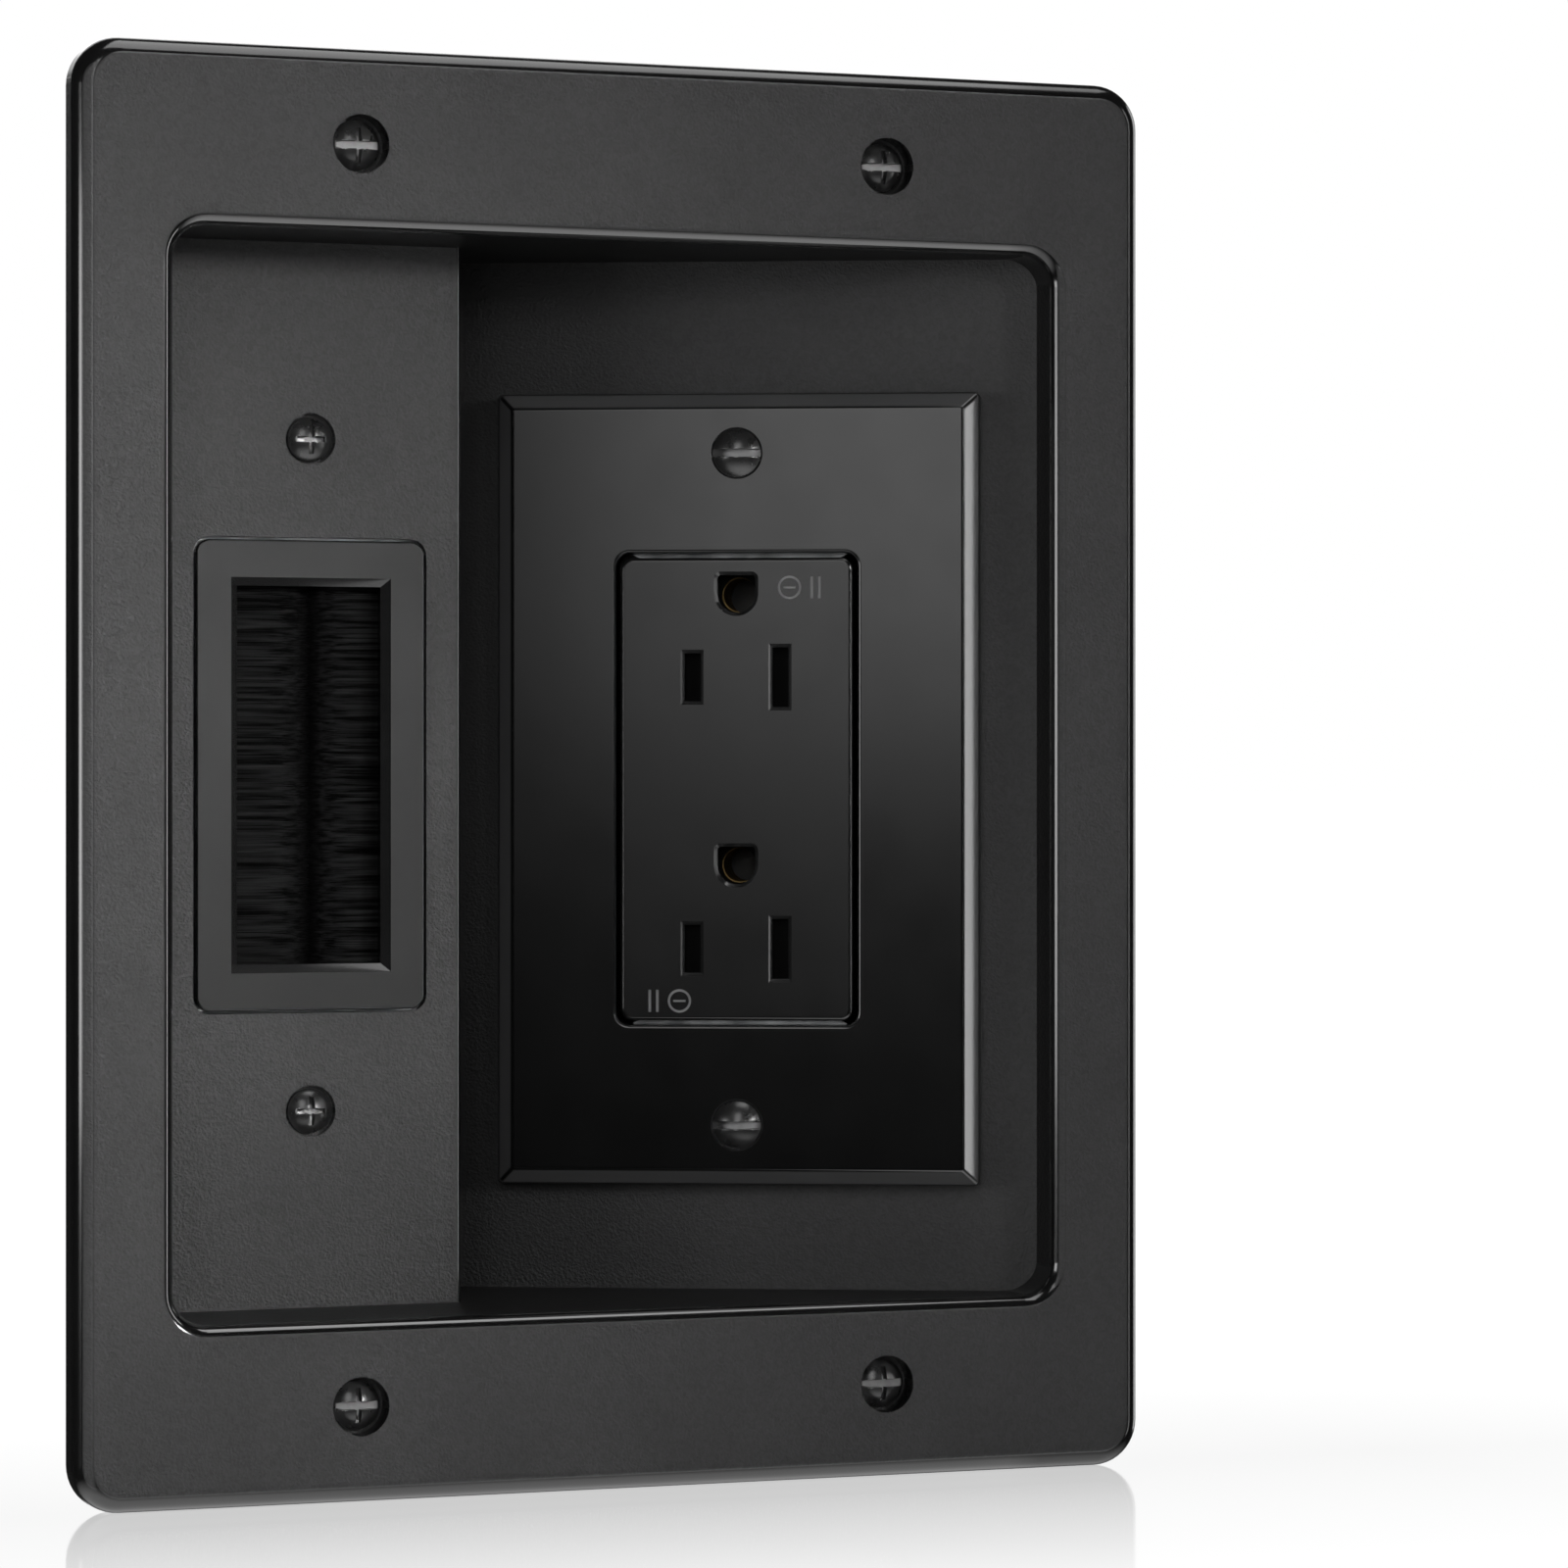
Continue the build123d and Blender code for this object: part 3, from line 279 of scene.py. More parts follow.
def frame_plastic():
    """Charcoal ABS: leather grain on the faces and polished rounded edges, with light and shade painted in.
    The walls inside the recess, the sides and the rounded edges get a much darker tone, partly for their
    smoother finish and mostly as painted shade. The far end of the pocket floor is painted darker as painted
    shade, and the recessed panel is painted lighter as painted light.
    """
    s = Shader("frame_plastic")
    textured = s.facing([FACES_ROOM, FACES_POCKET], 0.955, 0.992)
    sides = s.facing(FACES_ASIDE, 0.985, 0.998)
    back = s.facing([FACES_BACK], 0.9, 0.99)
    rounded = s.math("SUBTRACT", 1.0, s.math("MAXIMUM", textured, sides), clamp=True)
    x, depth, z = (s.along(axis) for axis in ((1, 0, 0), (0, 1, 0), (0, 0, 1)))

    broad, grain = leather_grain(s)
    s.bump(s.both(grain, s.math("MAXIMUM", textured, s.both(sides, 0.6))), 0.15, 1.0)

    # Painted shade: the walls inside the recess, the outer sides and the rounded edges take this much darker
    # tone, which also gives the dark bands beside the edge highlights.
    wall = s.mottled((0.005, 0.007), 18)
    high_spots = s.span(broad, 0.36, 0.64, 0, 1)
    flange = s.blend(high_spots, s.mottled((0.033, 0.039), 24), s.mottled((0.044, 0.052), 24))
    # Painted light: the recessed panel gets a lighter copy of the flange's tones.
    panel = s.blend(high_spots, s.mottled((0.042, 0.049), 24), s.mottled((0.055, 0.065), 24))
    painted_light_panel = s.both(s.rise(depth, LIT_PANEL_DEPTH), s.fall(x, LIT_PANEL_END_X))
    # Painted shade: the pocket floor is darkened towards the wall tone as it reaches further into the wall.
    deep = s.both(textured, s.span(depth, *SHADED_POCKET_DEPTH, 0, 0.95))
    face = s.blend(deep, s.blend(painted_light_panel, flange, panel), wall)

    outer = s.math(
        "MAXIMUM",
        s.rise(s.math("ABSOLUTE", x), OUTER_EDGE_X),
        s.rise(s.math("ABSOLUTE", z), OUTER_EDGE_Z),
    )
    polish = s.both(s.span(outer, 0, 1, 0.85, 0.3), s.span(x, *RIGHT_RIM_X, 1, 0.2))
    s.set(
        color=s.blend(s.math("MAXIMUM", textured, back), wall, face),
        rough=s.math("ADD", s.span(textured, 0, 1, 0.17, 0.6), s.both(sides, 0.23)),
        specular=0.5,
        coat=s.both(rounded, polish),
        coat_rough=0.1,
        coat_ior=1.9,
    )
    return s


def edged_plastic(
    name, front, face, bevel, rough, bevel_rough, peel, spread, coat, specular=0.5, marked=False
):
    """Moulded plastic with a polished skin on its bevels and sides, where light and shade are painted in.

    Face and bevel are the darkest and lightest tone, peel is size and depth, and spread is how far
    the face's roughness wanders. The bevel tone is painted on a band about 40 to 50 degrees from the front: a
    painted highlight on the plate and the face, and painted shade on the bezel's chamfer. The sides beside
    that band are painted nearly black. The floors of the marks on a marked face are painted light grey, as
    painted light on the engraved floors.
    """
    s = Shader(name)
    flat = s.facing([front], 0.93, 0.99)
    slope = s.turned([front])
    s.peel(*peel)
    gloss = s.wander(9, 4, rough - spread, rough + spread)
    painted_bevel_band = s.both(s.rise(slope, (0.6, 0.68)), s.fall(slope, (0.73, 0.8)))
    # Painted highlight and shade: the band's tone is lighter than the face on the plate and face and darker
    # on the bezel's chamfer, and the sides either side are painted near black as dark lines.
    sides = s.blend(painted_bevel_band, grey(0.002), s.mottled(bevel, 15))
    color = s.blend(flat, sides, s.mottled(face, 15))
    if marked:
        depth = s.along(front)
        low, high = MARK_FLOOR - MARK_REACH, MARK_FLOOR + MARK_REACH
        above = s.rise(depth, (low - MARK_BLUR, low + MARK_BLUR))
        below = s.fall(depth, (high - MARK_BLUR, high + MARK_BLUR))
        # Painted light: the mark floors are painted light grey, standing for the light on the engraved
        # floors.
        mark = s.both(flat, s.both(above, below))
        color = s.blend(mark, color, grey(0.34))
        gloss = s.math("ADD", gloss, s.both(mark, 0.3))
    s.set(
        color=color,
        rough=s.math("ADD", s.both(flat, s.math("SUBTRACT", gloss, bevel_rough)), bevel_rough),
        specular=specular,
        coat=s.span(flat, 0, 1, coat, 0),
        coat_rough=0.1,
        coat_ior=1.8,
    )
    return s


def inner_plastic():
    """Nearly black moulded plastic of the pieces behind the openings, darker than real plastic: painted shade
    that keeps the slots and holes black.
    """
    s = Shader("inner_plastic")
    s.peel(0.8, 0.008)
    s.set(color=s.mottled((0.0004, 0.0008), 15), rough=s.wander(9, 4, 0.56, 0.64), specular=0.08)
    return s


def moulded_plastic(name, tones, rough, depth, flecks=0.0):
    """Rougher moulded plastic for hidden and rear pieces, with spark-eroded grain."""
    s = Shader(name)
    s.bump(s.math("ADD", s.cells(0.5)["Distance"], s.noise(0.2, detail=3, rough=0.7)), depth, 0.7)
    color = s.mottled(tones, 12)
    if flecks:
        dots = s.span(s.noise(0.35, detail=1), 0.68, 0.72, 0, flecks)
        color = s.blend(dots, color, grey(tones[1] * 3))
    s.set(color=color, rough=s.wander(5, 3, rough - 0.07, rough + 0.07))
    return s


def metal(name, color, rough, marks, depth, stretch=(1, 1, 1), dark=0.7, spangle=0.0):
    """Bare or plated metal with fine drawn or stamped marks and a duller film in patches.

    Marks is the size of the marks and depth their depth. Dark is the film's share of the colour, and
    spangle the size of the zinc's crystals.
    """
    s = Shader(name)
    film = s.span(s.noise(3.5, detail=4), 0.35, 0.7, 0, 1)
    dull = tuple(c * dark for c in color) + (1.0,)
    tone = s.blend(film, (*color, 1.0), dull)
    gloss = s.span(film, 0, 1, rough, rough * 1.45)
    if spangle:
        crystal = s.add("ShaderNodeRGBToBW")
        s.link(s.cells(spangle, feature="F1")["Color"], crystal.inputs[0])
        gloss = s.math("ADD", gloss, s.span(crystal.outputs[0], 0.2, 0.8, -0.06, 0.1))
        tone = s.blend(s.span(crystal.outputs[0], 0.2, 0.8, 0, 0.35), tone, dull)
    s.bump(s.noise(marks, detail=4, rough=0.6, stretch=stretch), depth, 0.5)
    s.set(color=tone, rough=gloss, metal=1.0)
    return s


def black_screw():
    """Satin black oxide, with the faces that look straight out, the driver recess's floor and the dome's top,
    painted a dull grey as a painted highlight.
    """
    s = Shader("black_screw")
    s.bump(s.noise(0.25, detail=3), 0.001, 0.5)
    # Painted highlight: faces turned straight to the room or pocket, the recess floors and dome tops, are
    # painted light grey and made rougher.
    floor = s.facing([FACES_ROOM, FACES_POCKET], 0.993, 0.998)
    s.set(
        color=s.blend(floor, s.mottled((0.016, 0.024), 2.0), s.mottled((0.30, 0.36), 1.0)),
        rough=s.math("ADD", s.wander(1.6, 3, 0.26, 0.32), s.both(floor, 0.2)),
        specular=1.0,
    )
    return s


def green_screw():
    """Green dyed zinc."""
    s = Shader("green_screw")
    s.bump(s.noise(0.3, detail=3), 0.008, 0.5)
    tone = s.blend(s.noise(1.5, detail=3), (0.02, 0.16, 0.05, 1), (0.05, 0.28, 0.10, 1))
    s.set(color=tone, rough=s.wander(2, 2, 0.25, 0.4), metal=0.85)
    return s


def bristle_nylon():
    """Black nylon filament, greyer in some strands of the front layers, with the back layers painted near
    black as painted shade inside the brush.
    """
    s = Shader("bristle_nylon")
    strand = s.noise(0.55, detail=3, stretch=(0.03, 1, 1))
    s.bump(s.noise(0.05, detail=1), 0.004, 0.4)
    # Painted shade: behind the front layers the strands lose their grey and go near black.
    lit_front_layers = s.span(s.along((0, 1, 0)), *SHADED_BRISTLE_DEPTH, 1, 0.02)
    s.set(
        color=s.blend(s.both(lit_front_layers, s.span(strand, 0.38, 0.62, 0, 1)), grey(0.0003), grey(0.022)),
        rough=s.span(strand, 0.3, 0.7, 0.85, 0.75),
        specular=0.08,
    )
    return s


def all_materials():
    """The material of each material slot of the record."""
    made = [
        frame_plastic(),
        # The bevel tones here are painted light and shade: a painted highlight on the plate and face, painted
        # shade on the bezel.
        edged_plastic(
            "bezel_plastic", FACES_ROOM, face=(0.0195, 0.0235), bevel=(0.012, 0.016), rough=0.42,
            bevel_rough=0.26, peel=(1.2, 0.01), spread=0.04, coat=1.0, specular=0.34,
        ),
        edged_plastic(
            "plate_plastic", FACES_POCKET, face=(0.0018, 0.0026), bevel=(0.085, 0.095), rough=0.168,
            bevel_rough=0.3, peel=(3.0, 0.002), spread=0.012, coat=0.7,
        ),
        edged_plastic(
            "face_plastic", FACES_POCKET, face=(0.004, 0.005), bevel=(0.012, 0.016), rough=0.2,
            bevel_rough=0.26, peel=(2.2, 0.003), spread=0.015, coat=0.5, marked=True,
        ),
        moulded_plastic("box_plastic", (0.028, 0.038), rough=0.55, depth=0.05),
        moulded_plastic("body_plastic", (0.02, 0.028), rough=0.45, depth=0.02, flecks=0.25),
        moulded_plastic("wing_plastic", (0.03, 0.045), rough=0.5, depth=0.025, flecks=0.35),
        inner_plastic(),
        bristle_nylon(),
        black_screw(),
        green_screw(),
        metal("zinc_steel", (0.62, 0.63, 0.65), rough=0.24, marks=0.3, depth=0.006, dark=0.8),
        metal("silver_screw", (0.72, 0.71, 0.69), rough=0.2, marks=0.3, depth=0.005, dark=0.82),
        metal("spring_steel", (0.45, 0.46, 0.48), rough=0.28, marks=0.2, depth=0.004),
        metal(
            "strap_steel", (0.52, 0.53, 0.54), rough=0.34, marks=0.5, depth=0.01, stretch=(1, 1, 0.2),
            dark=0.75, spangle=4.0,
        ),
        metal(
            "contact_brass", (0.34, 0.23, 0.095), rough=0.42, marks=0.6, depth=0.008,
            stretch=(1, 0.15, 1), dark=0.72,
        ),
    ]
    return {shader.name: shader.material for shader in made}


materials = all_materials()
for part in frame["record"]["subparts"]:
    node = frame["nodes"][part["node"]]
    node.data.materials.clear()
    node.data.materials.append(materials[part["material_slot"]])


# ---------------------------------------------------------------- mesh helpers

LATHE_STEPS = 64
THREAD_STEPS, THREAD_LEVELS = 28, 8
TIP_TAPER, TIP_TURNS = 0.3, 1.2
FLANK_STEEPNESS, CREST = 1.35, 0.18


def new_piece(name, mesh, slot_name, body):
    """Makes mesh a shown piece, in the slot's material, that rides on a body."""
    piece = placed(name, mesh)
    mesh.materials.clear()
    mesh.materials.append(materials[slot_name])
    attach(piece, body)
    return piece


def finished(bm, name):
    """Turns bm into a mesh whose faces all point outwards."""
    bmesh.ops.recalc_face_normals(bm, faces=bm.faces)
    mesh = bpy.data.meshes.new(name)
    bm.to_mesh(mesh)
    bm.free()
    return mesh


def wrap(bm, first, second):
    """Faces between two rings, either of which may be a single point."""
    steps = max(len(first), len(second))
    for step in range(steps):
        following = (step + 1) % steps
        if len(first) == 1:
            bm.faces.new((first[0], second[step], second[following]))
        elif len(second) == 1:
            bm.faces.new((first[step], second[0], first[following]))
        else:
            bm.faces.new((first[step], second[step], second[following], first[following]))


def lathe(profile):
    """Closed body of revolution about z. The profile runs from the axis to the axis."""
    bm = bmesh.new()
    rings = []
    for radius, z in profile:
        if radius < 1e-6:
            rings.append([bm.verts.new((0, 0, z))])
        else:
            angles = [2 * pi * step / LATHE_STEPS for step in range(LATHE_STEPS)]
            rings.append([bm.verts.new((radius * cos(a), radius * sin(a), z)) for a in angles])
    for first, second in zip(rings, rings[1:]):
        wrap(bm, first, second)
    return finished(bm, "lathe")


def thread(radius, length, pitch, depth):
    """Closed threaded shank from z = 0 down to z = -length, with a narrower last turn."""
    bm = bmesh.new()
    count = int(length / pitch * THREAD_LEVELS)
    rings = []
    for level in range(count + 1):
        z = -length * level / count
        from_tip = (length + z) / pitch
        taper = 1 - TIP_TAPER * max(0.0, 1 - from_tip / TIP_TURNS)
        ring = []
        for step in range(THREAD_STEPS):
            phase = (z / pitch + step / THREAD_STEPS) % 1.0
            ridge = abs(2 * phase - 1)
            cut = depth * min(1.0, max(0.0, FLANK_STEEPNESS * ridge - CREST))
            r = (radius - cut) * taper
            angle = 2 * pi * step / THREAD_STEPS
            ring.append(bm.verts.new((r * cos(angle), r * sin(angle), z)))
        rings.append(ring)
    for first, second in zip(rings, rings[1:]):
        wrap(bm, first, second)
    bm.faces.new(rings[0])
    bm.faces.new(list(reversed(rings[-1])))
    return finished(bm, "thread")


def box_mesh(x, y, z, draft=0.0):
    """Cutter box between the ends given for each axis, narrowed by draft at its foot."""
    mesh = bpy.data.meshes.new("cutter")
    corners = []
    for level, inset in ((z[0], draft), (z[1], 0.0)):
        for sx, sy in ((0, 0), (1, 0), (1, 1), (0, 1)):
            corners.append((
                x[sx] + (inset if sx == 0 else -inset),
                y[sy] + (inset if sy == 0 else -inset),
                level,
            ))
    faces = [(3, 2, 1, 0), (4, 5, 6, 7), (0, 1, 5, 4), (1, 2, 6, 5), (2, 3, 7, 6), (3, 0, 4, 7)]
    mesh.from_pydata(corners, [], faces)
    return mesh


def carve(mesh, cutters, soften):
    """Mesh with the cutters taken away and its sharp edges rounded by soften."""
    work = placed("work", mesh)
    tools = [placed("tool", cutter) for cutter in cutters]
    for tool in tools:
        cut = work.modifiers.new("cut", "BOOLEAN")
        cut.object = tool
        cut.operation = "DIFFERENCE"
        cut.solver = "EXACT"
    round_off = work.modifiers.new("round", "BEVEL")
    round_off.width = soften
    round_off.segments = 2
    round_off.limit_method = "ANGLE"
    round_off.angle_limit = radians(35)
    round_off.use_clamp_overlap = True
    graph = bpy.context.evaluated_depsgraph_get()
    result = bpy.data.meshes.new_from_object(work.evaluated_get(graph))
    for helper in [work, *tools]:
        bpy.data.objects.remove(helper)
    return result


def joined(name, meshes):
    """One mesh made of (mesh, matrix) pairs."""
    bm = bmesh.new()
    for mesh, matrix in meshes:
        part_mesh = mesh.copy()
        part_mesh.transform(matrix)
        bm.from_mesh(part_mesh)
        bpy.data.meshes.remove(part_mesh)
    result = bpy.data.meshes.new(name)
    bm.to_mesh(result)
    bm.free()
    return result


def shade(mesh, angle=35):
    """Smooth shading with the creases sharper than angle degrees kept."""
    for polygon in mesh.polygons:
        polygon.use_smooth = True
    mesh.set_sharp_from_angle(angle=radians(angle))
    return mesh


# ---------------------------------------------------------------- screws

DOME_STEPS, DOME_LIP = 10, 0.15
CROSS_ARM, CROSS_DRAFT = 0.9, 0.12
THREAD_DEPTH = 0.42  # of the pitch
SHANK_SUNK = 0.02  # how far the shank reaches into the head


def dome_profile(radius, rise, base):
    """Points of a spherical cap from its top down to a lip inside its edge."""
    ball = (radius**2 + rise**2) / (2 * rise)
    centre = base + rise - ball
    reach = asin(min(1.0, (radius - DOME_LIP) / ball))
    points = []
    for step in range(DOME_STEPS + 1):
        angle = reach * step / DOME_STEPS
        points.append((ball * sin(angle), centre + ball * cos(angle)))
    return points


def pan_head(radius, height):
    """Domed head that stands on z = 0."""
    edge = 0.3 * height
    points = dome_profile(radius, height - edge, edge)
    points += [(radius - 0.04, edge + 0.1), (radius, edge - 0.05), (radius, 0.12), (radius - 0.1, 0), (0, 0)]
    return [(r * MM, z * MM) for r, z in points]


def oval_head(radius, rise, cone_depth, shank_radius):
    """Low dome over a cone that sits in a countersink."""
    points = dome_profile(radius, rise, 0)
    points += [(radius, 0.0), (radius - 0.05, -0.12), (shank_radius, -cone_depth), (0, -cone_depth)]
    return [(r * MM, z * MM) for r, z in points]


def recesses(radius, floor, top, slot=0.0, cross=0.0):
    """Cutters for a driver slot and a cross recess."""
    cutters = []
    if slot:
        reach = (radius + 1) * MM
        cutters.append(box_mesh((-reach, reach), (-slot / 2 * MM, slot / 2 * MM), (floor * MM, top * MM)))
    if cross:
        for x, y in ((cross, CROSS_ARM / 2), (CROSS_ARM / 2, cross)):
            ends = (-x * MM, x * MM), (-y * MM, y * MM), (floor * MM, top * MM)
            cutters.append(box_mesh(*ends, draft=CROSS_DRAFT * MM))
    return cutters


def screw_mesh(name, head, shank, length, pitch, top=0.0):
    """A head and a threaded shank that starts at top."""
    shank_mesh = thread(shank * MM, length * MM, pitch * MM, THREAD_DEPTH * pitch * MM)
    sunk = Matrix.Translation((0, 0, (SHANK_SUNK + top) * MM))
    return shade(joined(name, [(head, Matrix()), (shank_mesh, sunk)]))


def pan_screw(radius, height, shank, length, pitch, slot=0.0, cross=0.0):
    """Machine screw with a domed head on z = 0 and a thread below it."""
    cutters = recesses(radius, 0.45 * height, height + 1, slot, cross)
    head = carve(lathe(pan_head(radius, height)), cutters, 0.07 * MM)
    return screw_mesh("pan_screw", head, shank, length, pitch)


def oval_screw(radius, rise, cone_depth, shank, length, pitch, slot):
    """Oval-head screw for the wall plate. Its length is measured from z = 0."""
    cutters = recesses(radius, 0.05, rise + 1, slot)
    head = carve(lathe(oval_head(radius, rise, cone_depth, shank)), cutters, 0.05 * MM)
    return screw_mesh("oval_screw", head, shank, length - cone_depth, pitch, top=-cone_depth)


CLAMP_X, CLAMP_Z, CLAMP_SEAT = 39.0, 86.25, 2.35


def clamp_screws():
    """The four screws that turn and carry the clamp wings."""
    clamp_mesh = pan_screw(radius=3.4, height=2.3, shank=2.05, length=48.3, pitch=0.95, slot=1.1, cross=2.5)
    for row, level in ROWS:
        for column, side in COLUMNS:
            corner = f"{row}_{column}"
            place = WALL @ at(side * CLAMP_X, level * CLAMP_Z, CLAMP_SEAT)
            mesh = shade(joined(f"clamp_screw_{corner}", [(clamp_mesh, place)]))
            piece = new_piece(f"threaded_clamp_screw_{corner}", mesh, "black_screw", f"screw_{corner}")
            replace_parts(piece, f"clamp_screw_{corner}")


def screw_group(node, mesh, places, slot_name):
    """Replaces a node of like screws by detailed ones at the same places."""
    made = shade(joined(node, [(mesh, place) for place in places]))
    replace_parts(new_piece(f"detailed_{node}", made, slot_name, "frame"), node)


clamp_screws()
screw_group(
    "brush_panel_screws",
    pan_screw(radius=3.2, height=2.1, shank=1.75, length=9.0, pitch=0.79, cross=2.1),
    [PANEL @ at(0, level * 47.0, -1.3) for level in LEVELS],
    "black_screw",
)
screw_group(
    "plate_screws",
    oval_screw(radius=3.5, rise=1.5, cone_depth=1.9, shank=1.75, length=12.0, pitch=0.79, slot=1.15),
    [POCKET @ at(0, level * 48.4, 5.65) for level in LEVELS],
    "black_screw",
)
screw_group(
    "mounting_screws",
    pan_screw(radius=4.1, height=2.6, shank=1.75, length=19.05, pitch=0.79, slot=1.3),
    [POCKET @ at(0, level * 41.65, 1.1) for level in LEVELS],
    "zinc_steel",
)
screw_group(
    "box_screws",
    pan_screw(radius=4.1, height=2.6, shank=1.75, length=38.1, pitch=0.79, slot=1.3),
    [POCKET @ at(-24.0, level * 44.0, 0) for level in LEVELS],
    "zinc_steel",
)


# ---------------------------------------------------------------- bristles

BRISTLE_ROOT = 13.4  # from the panel's middle to where the fibres leave the channel
BRISTLE_HALF_LENGTH = 27.4
BRISTLE_FRONT, BRISTLE_BACK = -3.56, -5.9
BRISTLE_LAYERS = 14
BRISTLE_PITCH = 0.17
BRISTLE_RADIUS = 0.1
BRISTLE_FLATNESS = 0.7
BRISTLE_JOINTS = 8
TIP_TAPERED = 0.15  # share of its radius that a fibre loses towards its tip
TIP_DIP = 1.6  # how far the front layer's tips dip into the seam
SEAM_X = 1.3
SEAM_FRONT, SEAM_BACK = 0.65, -3.2  # how far short of the seam the tips end, or across it if negative


def fibre(side, share, index, draw):
    """Points and radii along one fibre on the panel. Share goes from 0 in front to 1 at the back."""
    depth = BRISTLE_FRONT + (BRISTLE_BACK - BRISTLE_FRONT) * share
    y0 = -BRISTLE_HALF_LENGTH + (index + draw.uniform(0.1, 0.9)) * BRISTLE_PITCH
    w0 = depth + draw.uniform(-0.25, 0.15)
    tip = SEAM_FRONT * (1 - share) + SEAM_BACK * share + draw.uniform(-0.1, 0.2) + side * SEAM_X
    lean = draw.gauss(0, 0.07)
    droop = -TIP_DIP * (1 - 0.6 * share) + draw.gauss(0, 0.05)
    radius = BRISTLE_RADIUS * draw.uniform(0.75, 1.1)
    for joint in range(BRISTLE_JOINTS):
        t = joint / (BRISTLE_JOINTS - 1)
        x = side * (BRISTLE_ROOT + (tip - BRISTLE_ROOT) * t)
        y = min(max(y0 + lean * t * t, -BRISTLE_HALF_LENGTH), BRISTLE_HALF_LENGTH)
        w = min(max(w0 + droop * t**6, BRISTLE_BACK), BRISTLE_FRONT)
        yield x, y, w, radius * (1 - TIP_TAPERED * t)


def fibre_faces(start):
    """Faces of a closed four-sided tube whose first vertex is start."""
    faces = []
    for joint in range(BRISTLE_JOINTS - 1):
        base = start + 4 * joint
        for corner in range(4):
            after = (corner + 1) % 4
            faces.append((base + corner, base + after, base + 4 + after, base + 4 + corner))
    last = start + 4 * (BRISTLE_JOINTS - 1)
    faces.append(tuple(start + corner for corner in range(4)))
    faces.append(tuple(last + corner for corner in (3, 2, 1, 0)))
    return faces


def bristle_row(side, draw):
    """One row of separate tapered fibres, from the channel to the seam."""
    verts, faces = [], []
    per_layer = int(2 * BRISTLE_HALF_LENGTH / BRISTLE_PITCH)
    angles = [pi / 4 + corner * pi / 2 for corner in range(4)]
    for layer in range(BRISTLE_LAYERS):
        share = (layer + 0.5) / BRISTLE_LAYERS
        for index in range(per_layer):
            faces += fibre_faces(len(verts))
            for x, y, w, r in fibre(side, share, index, draw):
                for a in angles:
                    corner = Vector((x, y + r * cos(a), w + r * sin(a) * BRISTLE_FLATNESS))
                    verts.append(PANEL @ (corner * MM))
    raw = bpy.data.meshes.new("fibres")
    raw.from_pydata(verts, [], faces)
    bm = bmesh.new()
    bm.from_mesh(raw)
    bpy.data.meshes.remove(raw)
    return shade(finished(bm, "fibres"), 80)


draw = random.Random(SEED)
for column, side in COLUMNS:
    fibres = new_piece(f"fibres_{column}", bristle_row(side, draw), "bristle_nylon", "frame")
    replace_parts(fibres, f"bristles_{column}")


# ---------------------------------------------------------------- stage

FLOOR_Z = cad_box[0][2]
FLOOR_HALF = 30.0
FLOOR_GAP = 0.00002

# The floor's gloss, and the limits between which it fades, in metres from the object's middle
GLOSS_FAR, GLOSS_NEAR = 0.13, 0.46
GLOSS_FRONT_Y, GLOSS_FAR_FRONT_Y, GLOSS_BEHIND_Y = (-0.1, -0.0055), (-0.35, -0.12), (0.0, 0.12)
GLOSS_ASIDE_X = (0.12, 0.25)

GROUND_GLOW = 1.2
GROUND_EDGE = (-0.8, -0.45)
WORLD_DIM = 0.02
CARD_DIRECTION = (sin(radians(22)), cos(radians(22)), 0.08)
CARD_EDGE = (cos(radians(24)), cos(radians(17)))


def stage_floor():
    """Wide white floor, glossiest beside the object. It isn't seen in the object's reflections."""
    mesh = bpy.data.meshes.new("floor")
    reach = FLOOR_HALF
    corners = [(-reach, -reach, 0), (reach, -reach, 0), (reach, reach, 0), (-reach, reach, 0)]
    mesh.from_pydata(corners, [], [(0, 1, 2, 3)])
    floor = placed("floor", mesh)
    floor.location = (0, 0, FLOOR_Z - FLOOR_GAP)
    floor.visible_glossy = False

    s = Shader("floor")
    s.tree.nodes.remove(s.bsdf)
    split = s.add("ShaderNodeSeparateXYZ")
    s.link(s.place["Object"], split.inputs[0])
    x, y = split.outputs["X"], split.outputs["Y"]
    gloss = s.both(s.span(y, *GLOSS_FRONT_Y, GLOSS_FAR, GLOSS_NEAR), s.fall(y, GLOSS_BEHIND_Y))
    gloss = s.both(gloss, s.rise(y, GLOSS_FAR_FRONT_Y))
    gloss = s.both(gloss, s.fall(s.math("ABSOLUTE", x), GLOSS_ASIDE_X))
    glow = s.add("ShaderNodeEmission")
    glow.inputs["Strength"].default_value = 1.03
    mirror = s.add("ShaderNodeBsdfGlossy")
    mirror.inputs["Roughness"].default_value = 0.07
    matte = s.add("ShaderNodeBsdfDiffuse")
    matte.inputs["Color"].default_value = (0.75, 0.75, 0.75, 1)
    seen = s.mix_shader(gloss, glow.outputs[0], mirror.outputs[0])
    camera_ray = s.add("ShaderNodeLightPath").outputs["Is Camera Ray"]
    surface = s.mix_shader(camera_ray, matte.outputs[0], seen)
    s.link(surface, s.tree.nodes["Material Output"].inputs["Surface"])
    floor.data.materials.append(s.material)


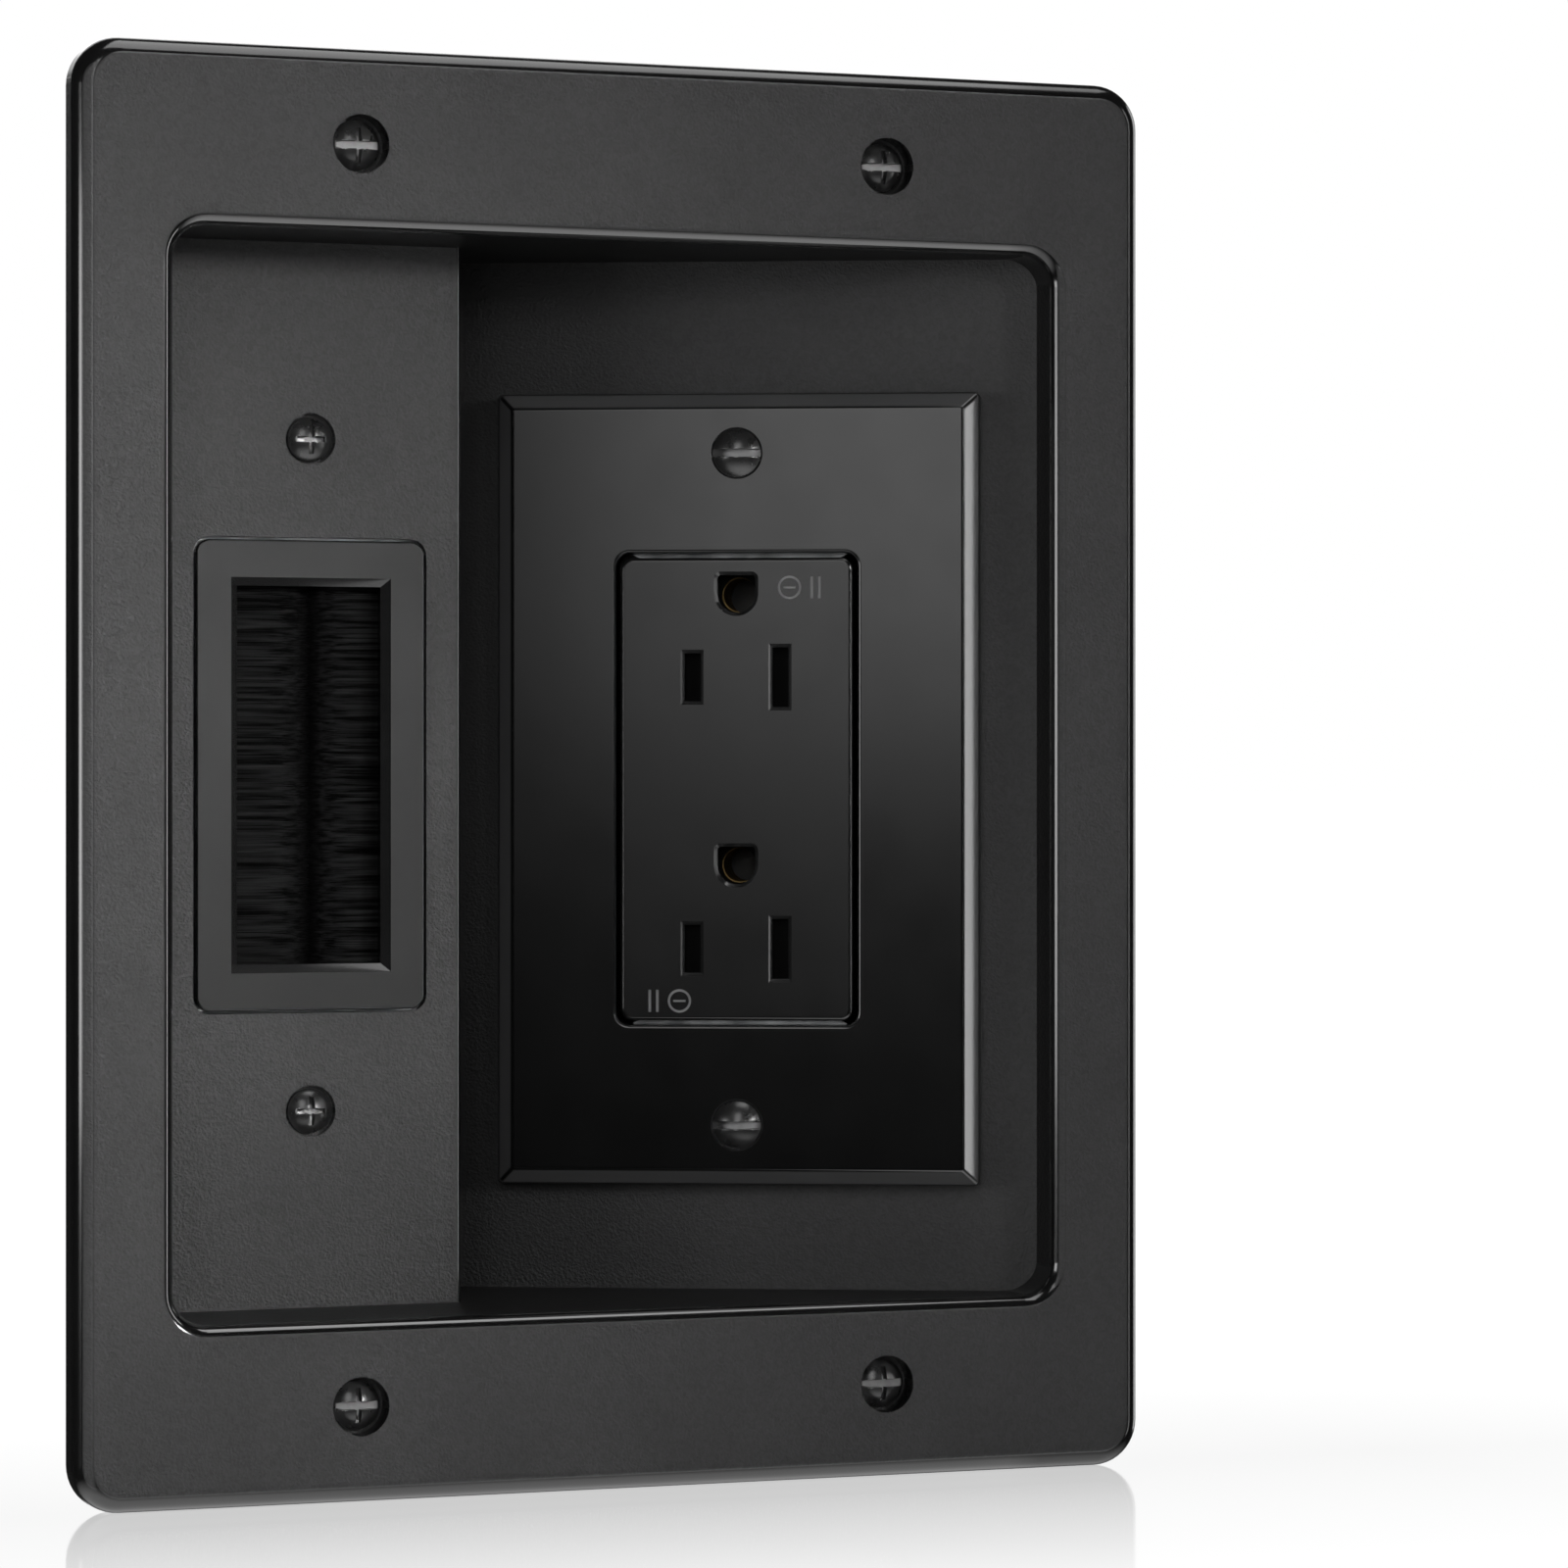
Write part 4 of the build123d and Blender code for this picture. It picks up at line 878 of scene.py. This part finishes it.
def studio_world():
    """White to the camera. To everything else: nearly dark, with a bright ground and a white card behind."""
    world = bpy.data.worlds.new("studio")
    bpy.context.scene.world = world
    world.use_nodes = True
    w = Nodes(world.node_tree)
    direction = w.place["Generated"]
    split = w.add("ShaderNodeSeparateXYZ")
    w.link(direction, split.inputs[0])
    ground = w.span(split.outputs["Z"], *GROUND_EDGE, GROUND_GLOW, 0)
    card = w.rise(w.dot(direction, CARD_DIRECTION), CARD_EDGE)
    unseen = w.math("ADD", w.math("ADD", ground, card), WORLD_DIM)
    camera_ray = w.add("ShaderNodeLightPath").outputs["Is Camera Ray"]
    background = w.tree.nodes["Background"]
    background.inputs["Color"].default_value = (1, 1, 1, 1)
    w.link(w.span(camera_ray, 0, 1, unseen, 1), background.inputs["Strength"])


stage_floor()
studio_world()


# ---------------------------------------------------------------- lights and camera

LEFT_PART = (-0.115, 0, 0.0)


def area_light(name, azimuth, elevation, distance, size, radiance, spread=180, aim=(0, 0, 0)):
    """Soft box at an azimuth (0 in front, positive to the right) and elevation in degrees, aimed at aim."""
    width, height = size
    data = bpy.data.lights.new(name, "AREA")
    data.shape = "RECTANGLE"
    data.size, data.size_y = width, height
    data.energy = radiance * pi * width * height
    data.spread = radians(spread)
    light = placed(name, data)
    a, e = radians(azimuth), radians(elevation)
    light.location = Vector((sin(a) * cos(e), -cos(a) * cos(e), sin(e))) * distance
    light.rotation_mode = "QUATERNION"
    light.rotation_quaternion = (Vector(aim) - light.location).to_track_quat("-Z", "Y")
    light.visible_camera = False


def studio_lights():
    """The soft boxes, and two narrow beams that reach only the left part."""
    area_light("over_camera", azimuth=-25.0, elevation=19.4, distance=1.2, size=(0.4, 0.8), radiance=2.4)
    area_light("left_strip", azimuth=-76, elevation=2, distance=0.9, size=(0.36, 0.26), radiance=6.2)
    area_light("right_strip", azimuth=62, elevation=3, distance=1.1, size=(0.1, 1.0), radiance=4.2)
    area_light("right_back", azimuth=112, elevation=5, distance=1.1, size=(0.35, 0.9), radiance=2.4)
    area_light("overhead", azimuth=60, elevation=78, distance=1.0, size=(0.8, 0.6), radiance=2.3)
    area_light("back_fill", azimuth=175, elevation=28, distance=1.2, size=(0.8, 0.8), radiance=0.9)
    area_light(
        "grid_right", azimuth=30, elevation=12, distance=1.1, size=(0.2, 0.2), radiance=0.8,
        spread=20, aim=LEFT_PART,
    )
    area_light(
        "grid_front", azimuth=5, elevation=10, distance=1.1, size=(0.1, 0.1), radiance=0.75,
        spread=14, aim=LEFT_PART,
    )


def photo_camera():
    """Camera at the photo's place: level, and turned 22 degrees to the right."""
    data = bpy.data.cameras.new("camera")
    data.sensor_width = 36
    data.lens = 132.3
    data.shift_y = -0.005625
    camera = placed("camera", data)
    camera.location = (-0.2803, -0.7568, 0.0)
    camera.rotation_euler = (radians(90), 0, radians(-22))
    bpy.context.scene.camera = camera


studio_lights()
photo_camera()
bpy.context.scene.view_settings.view_transform = "Standard"
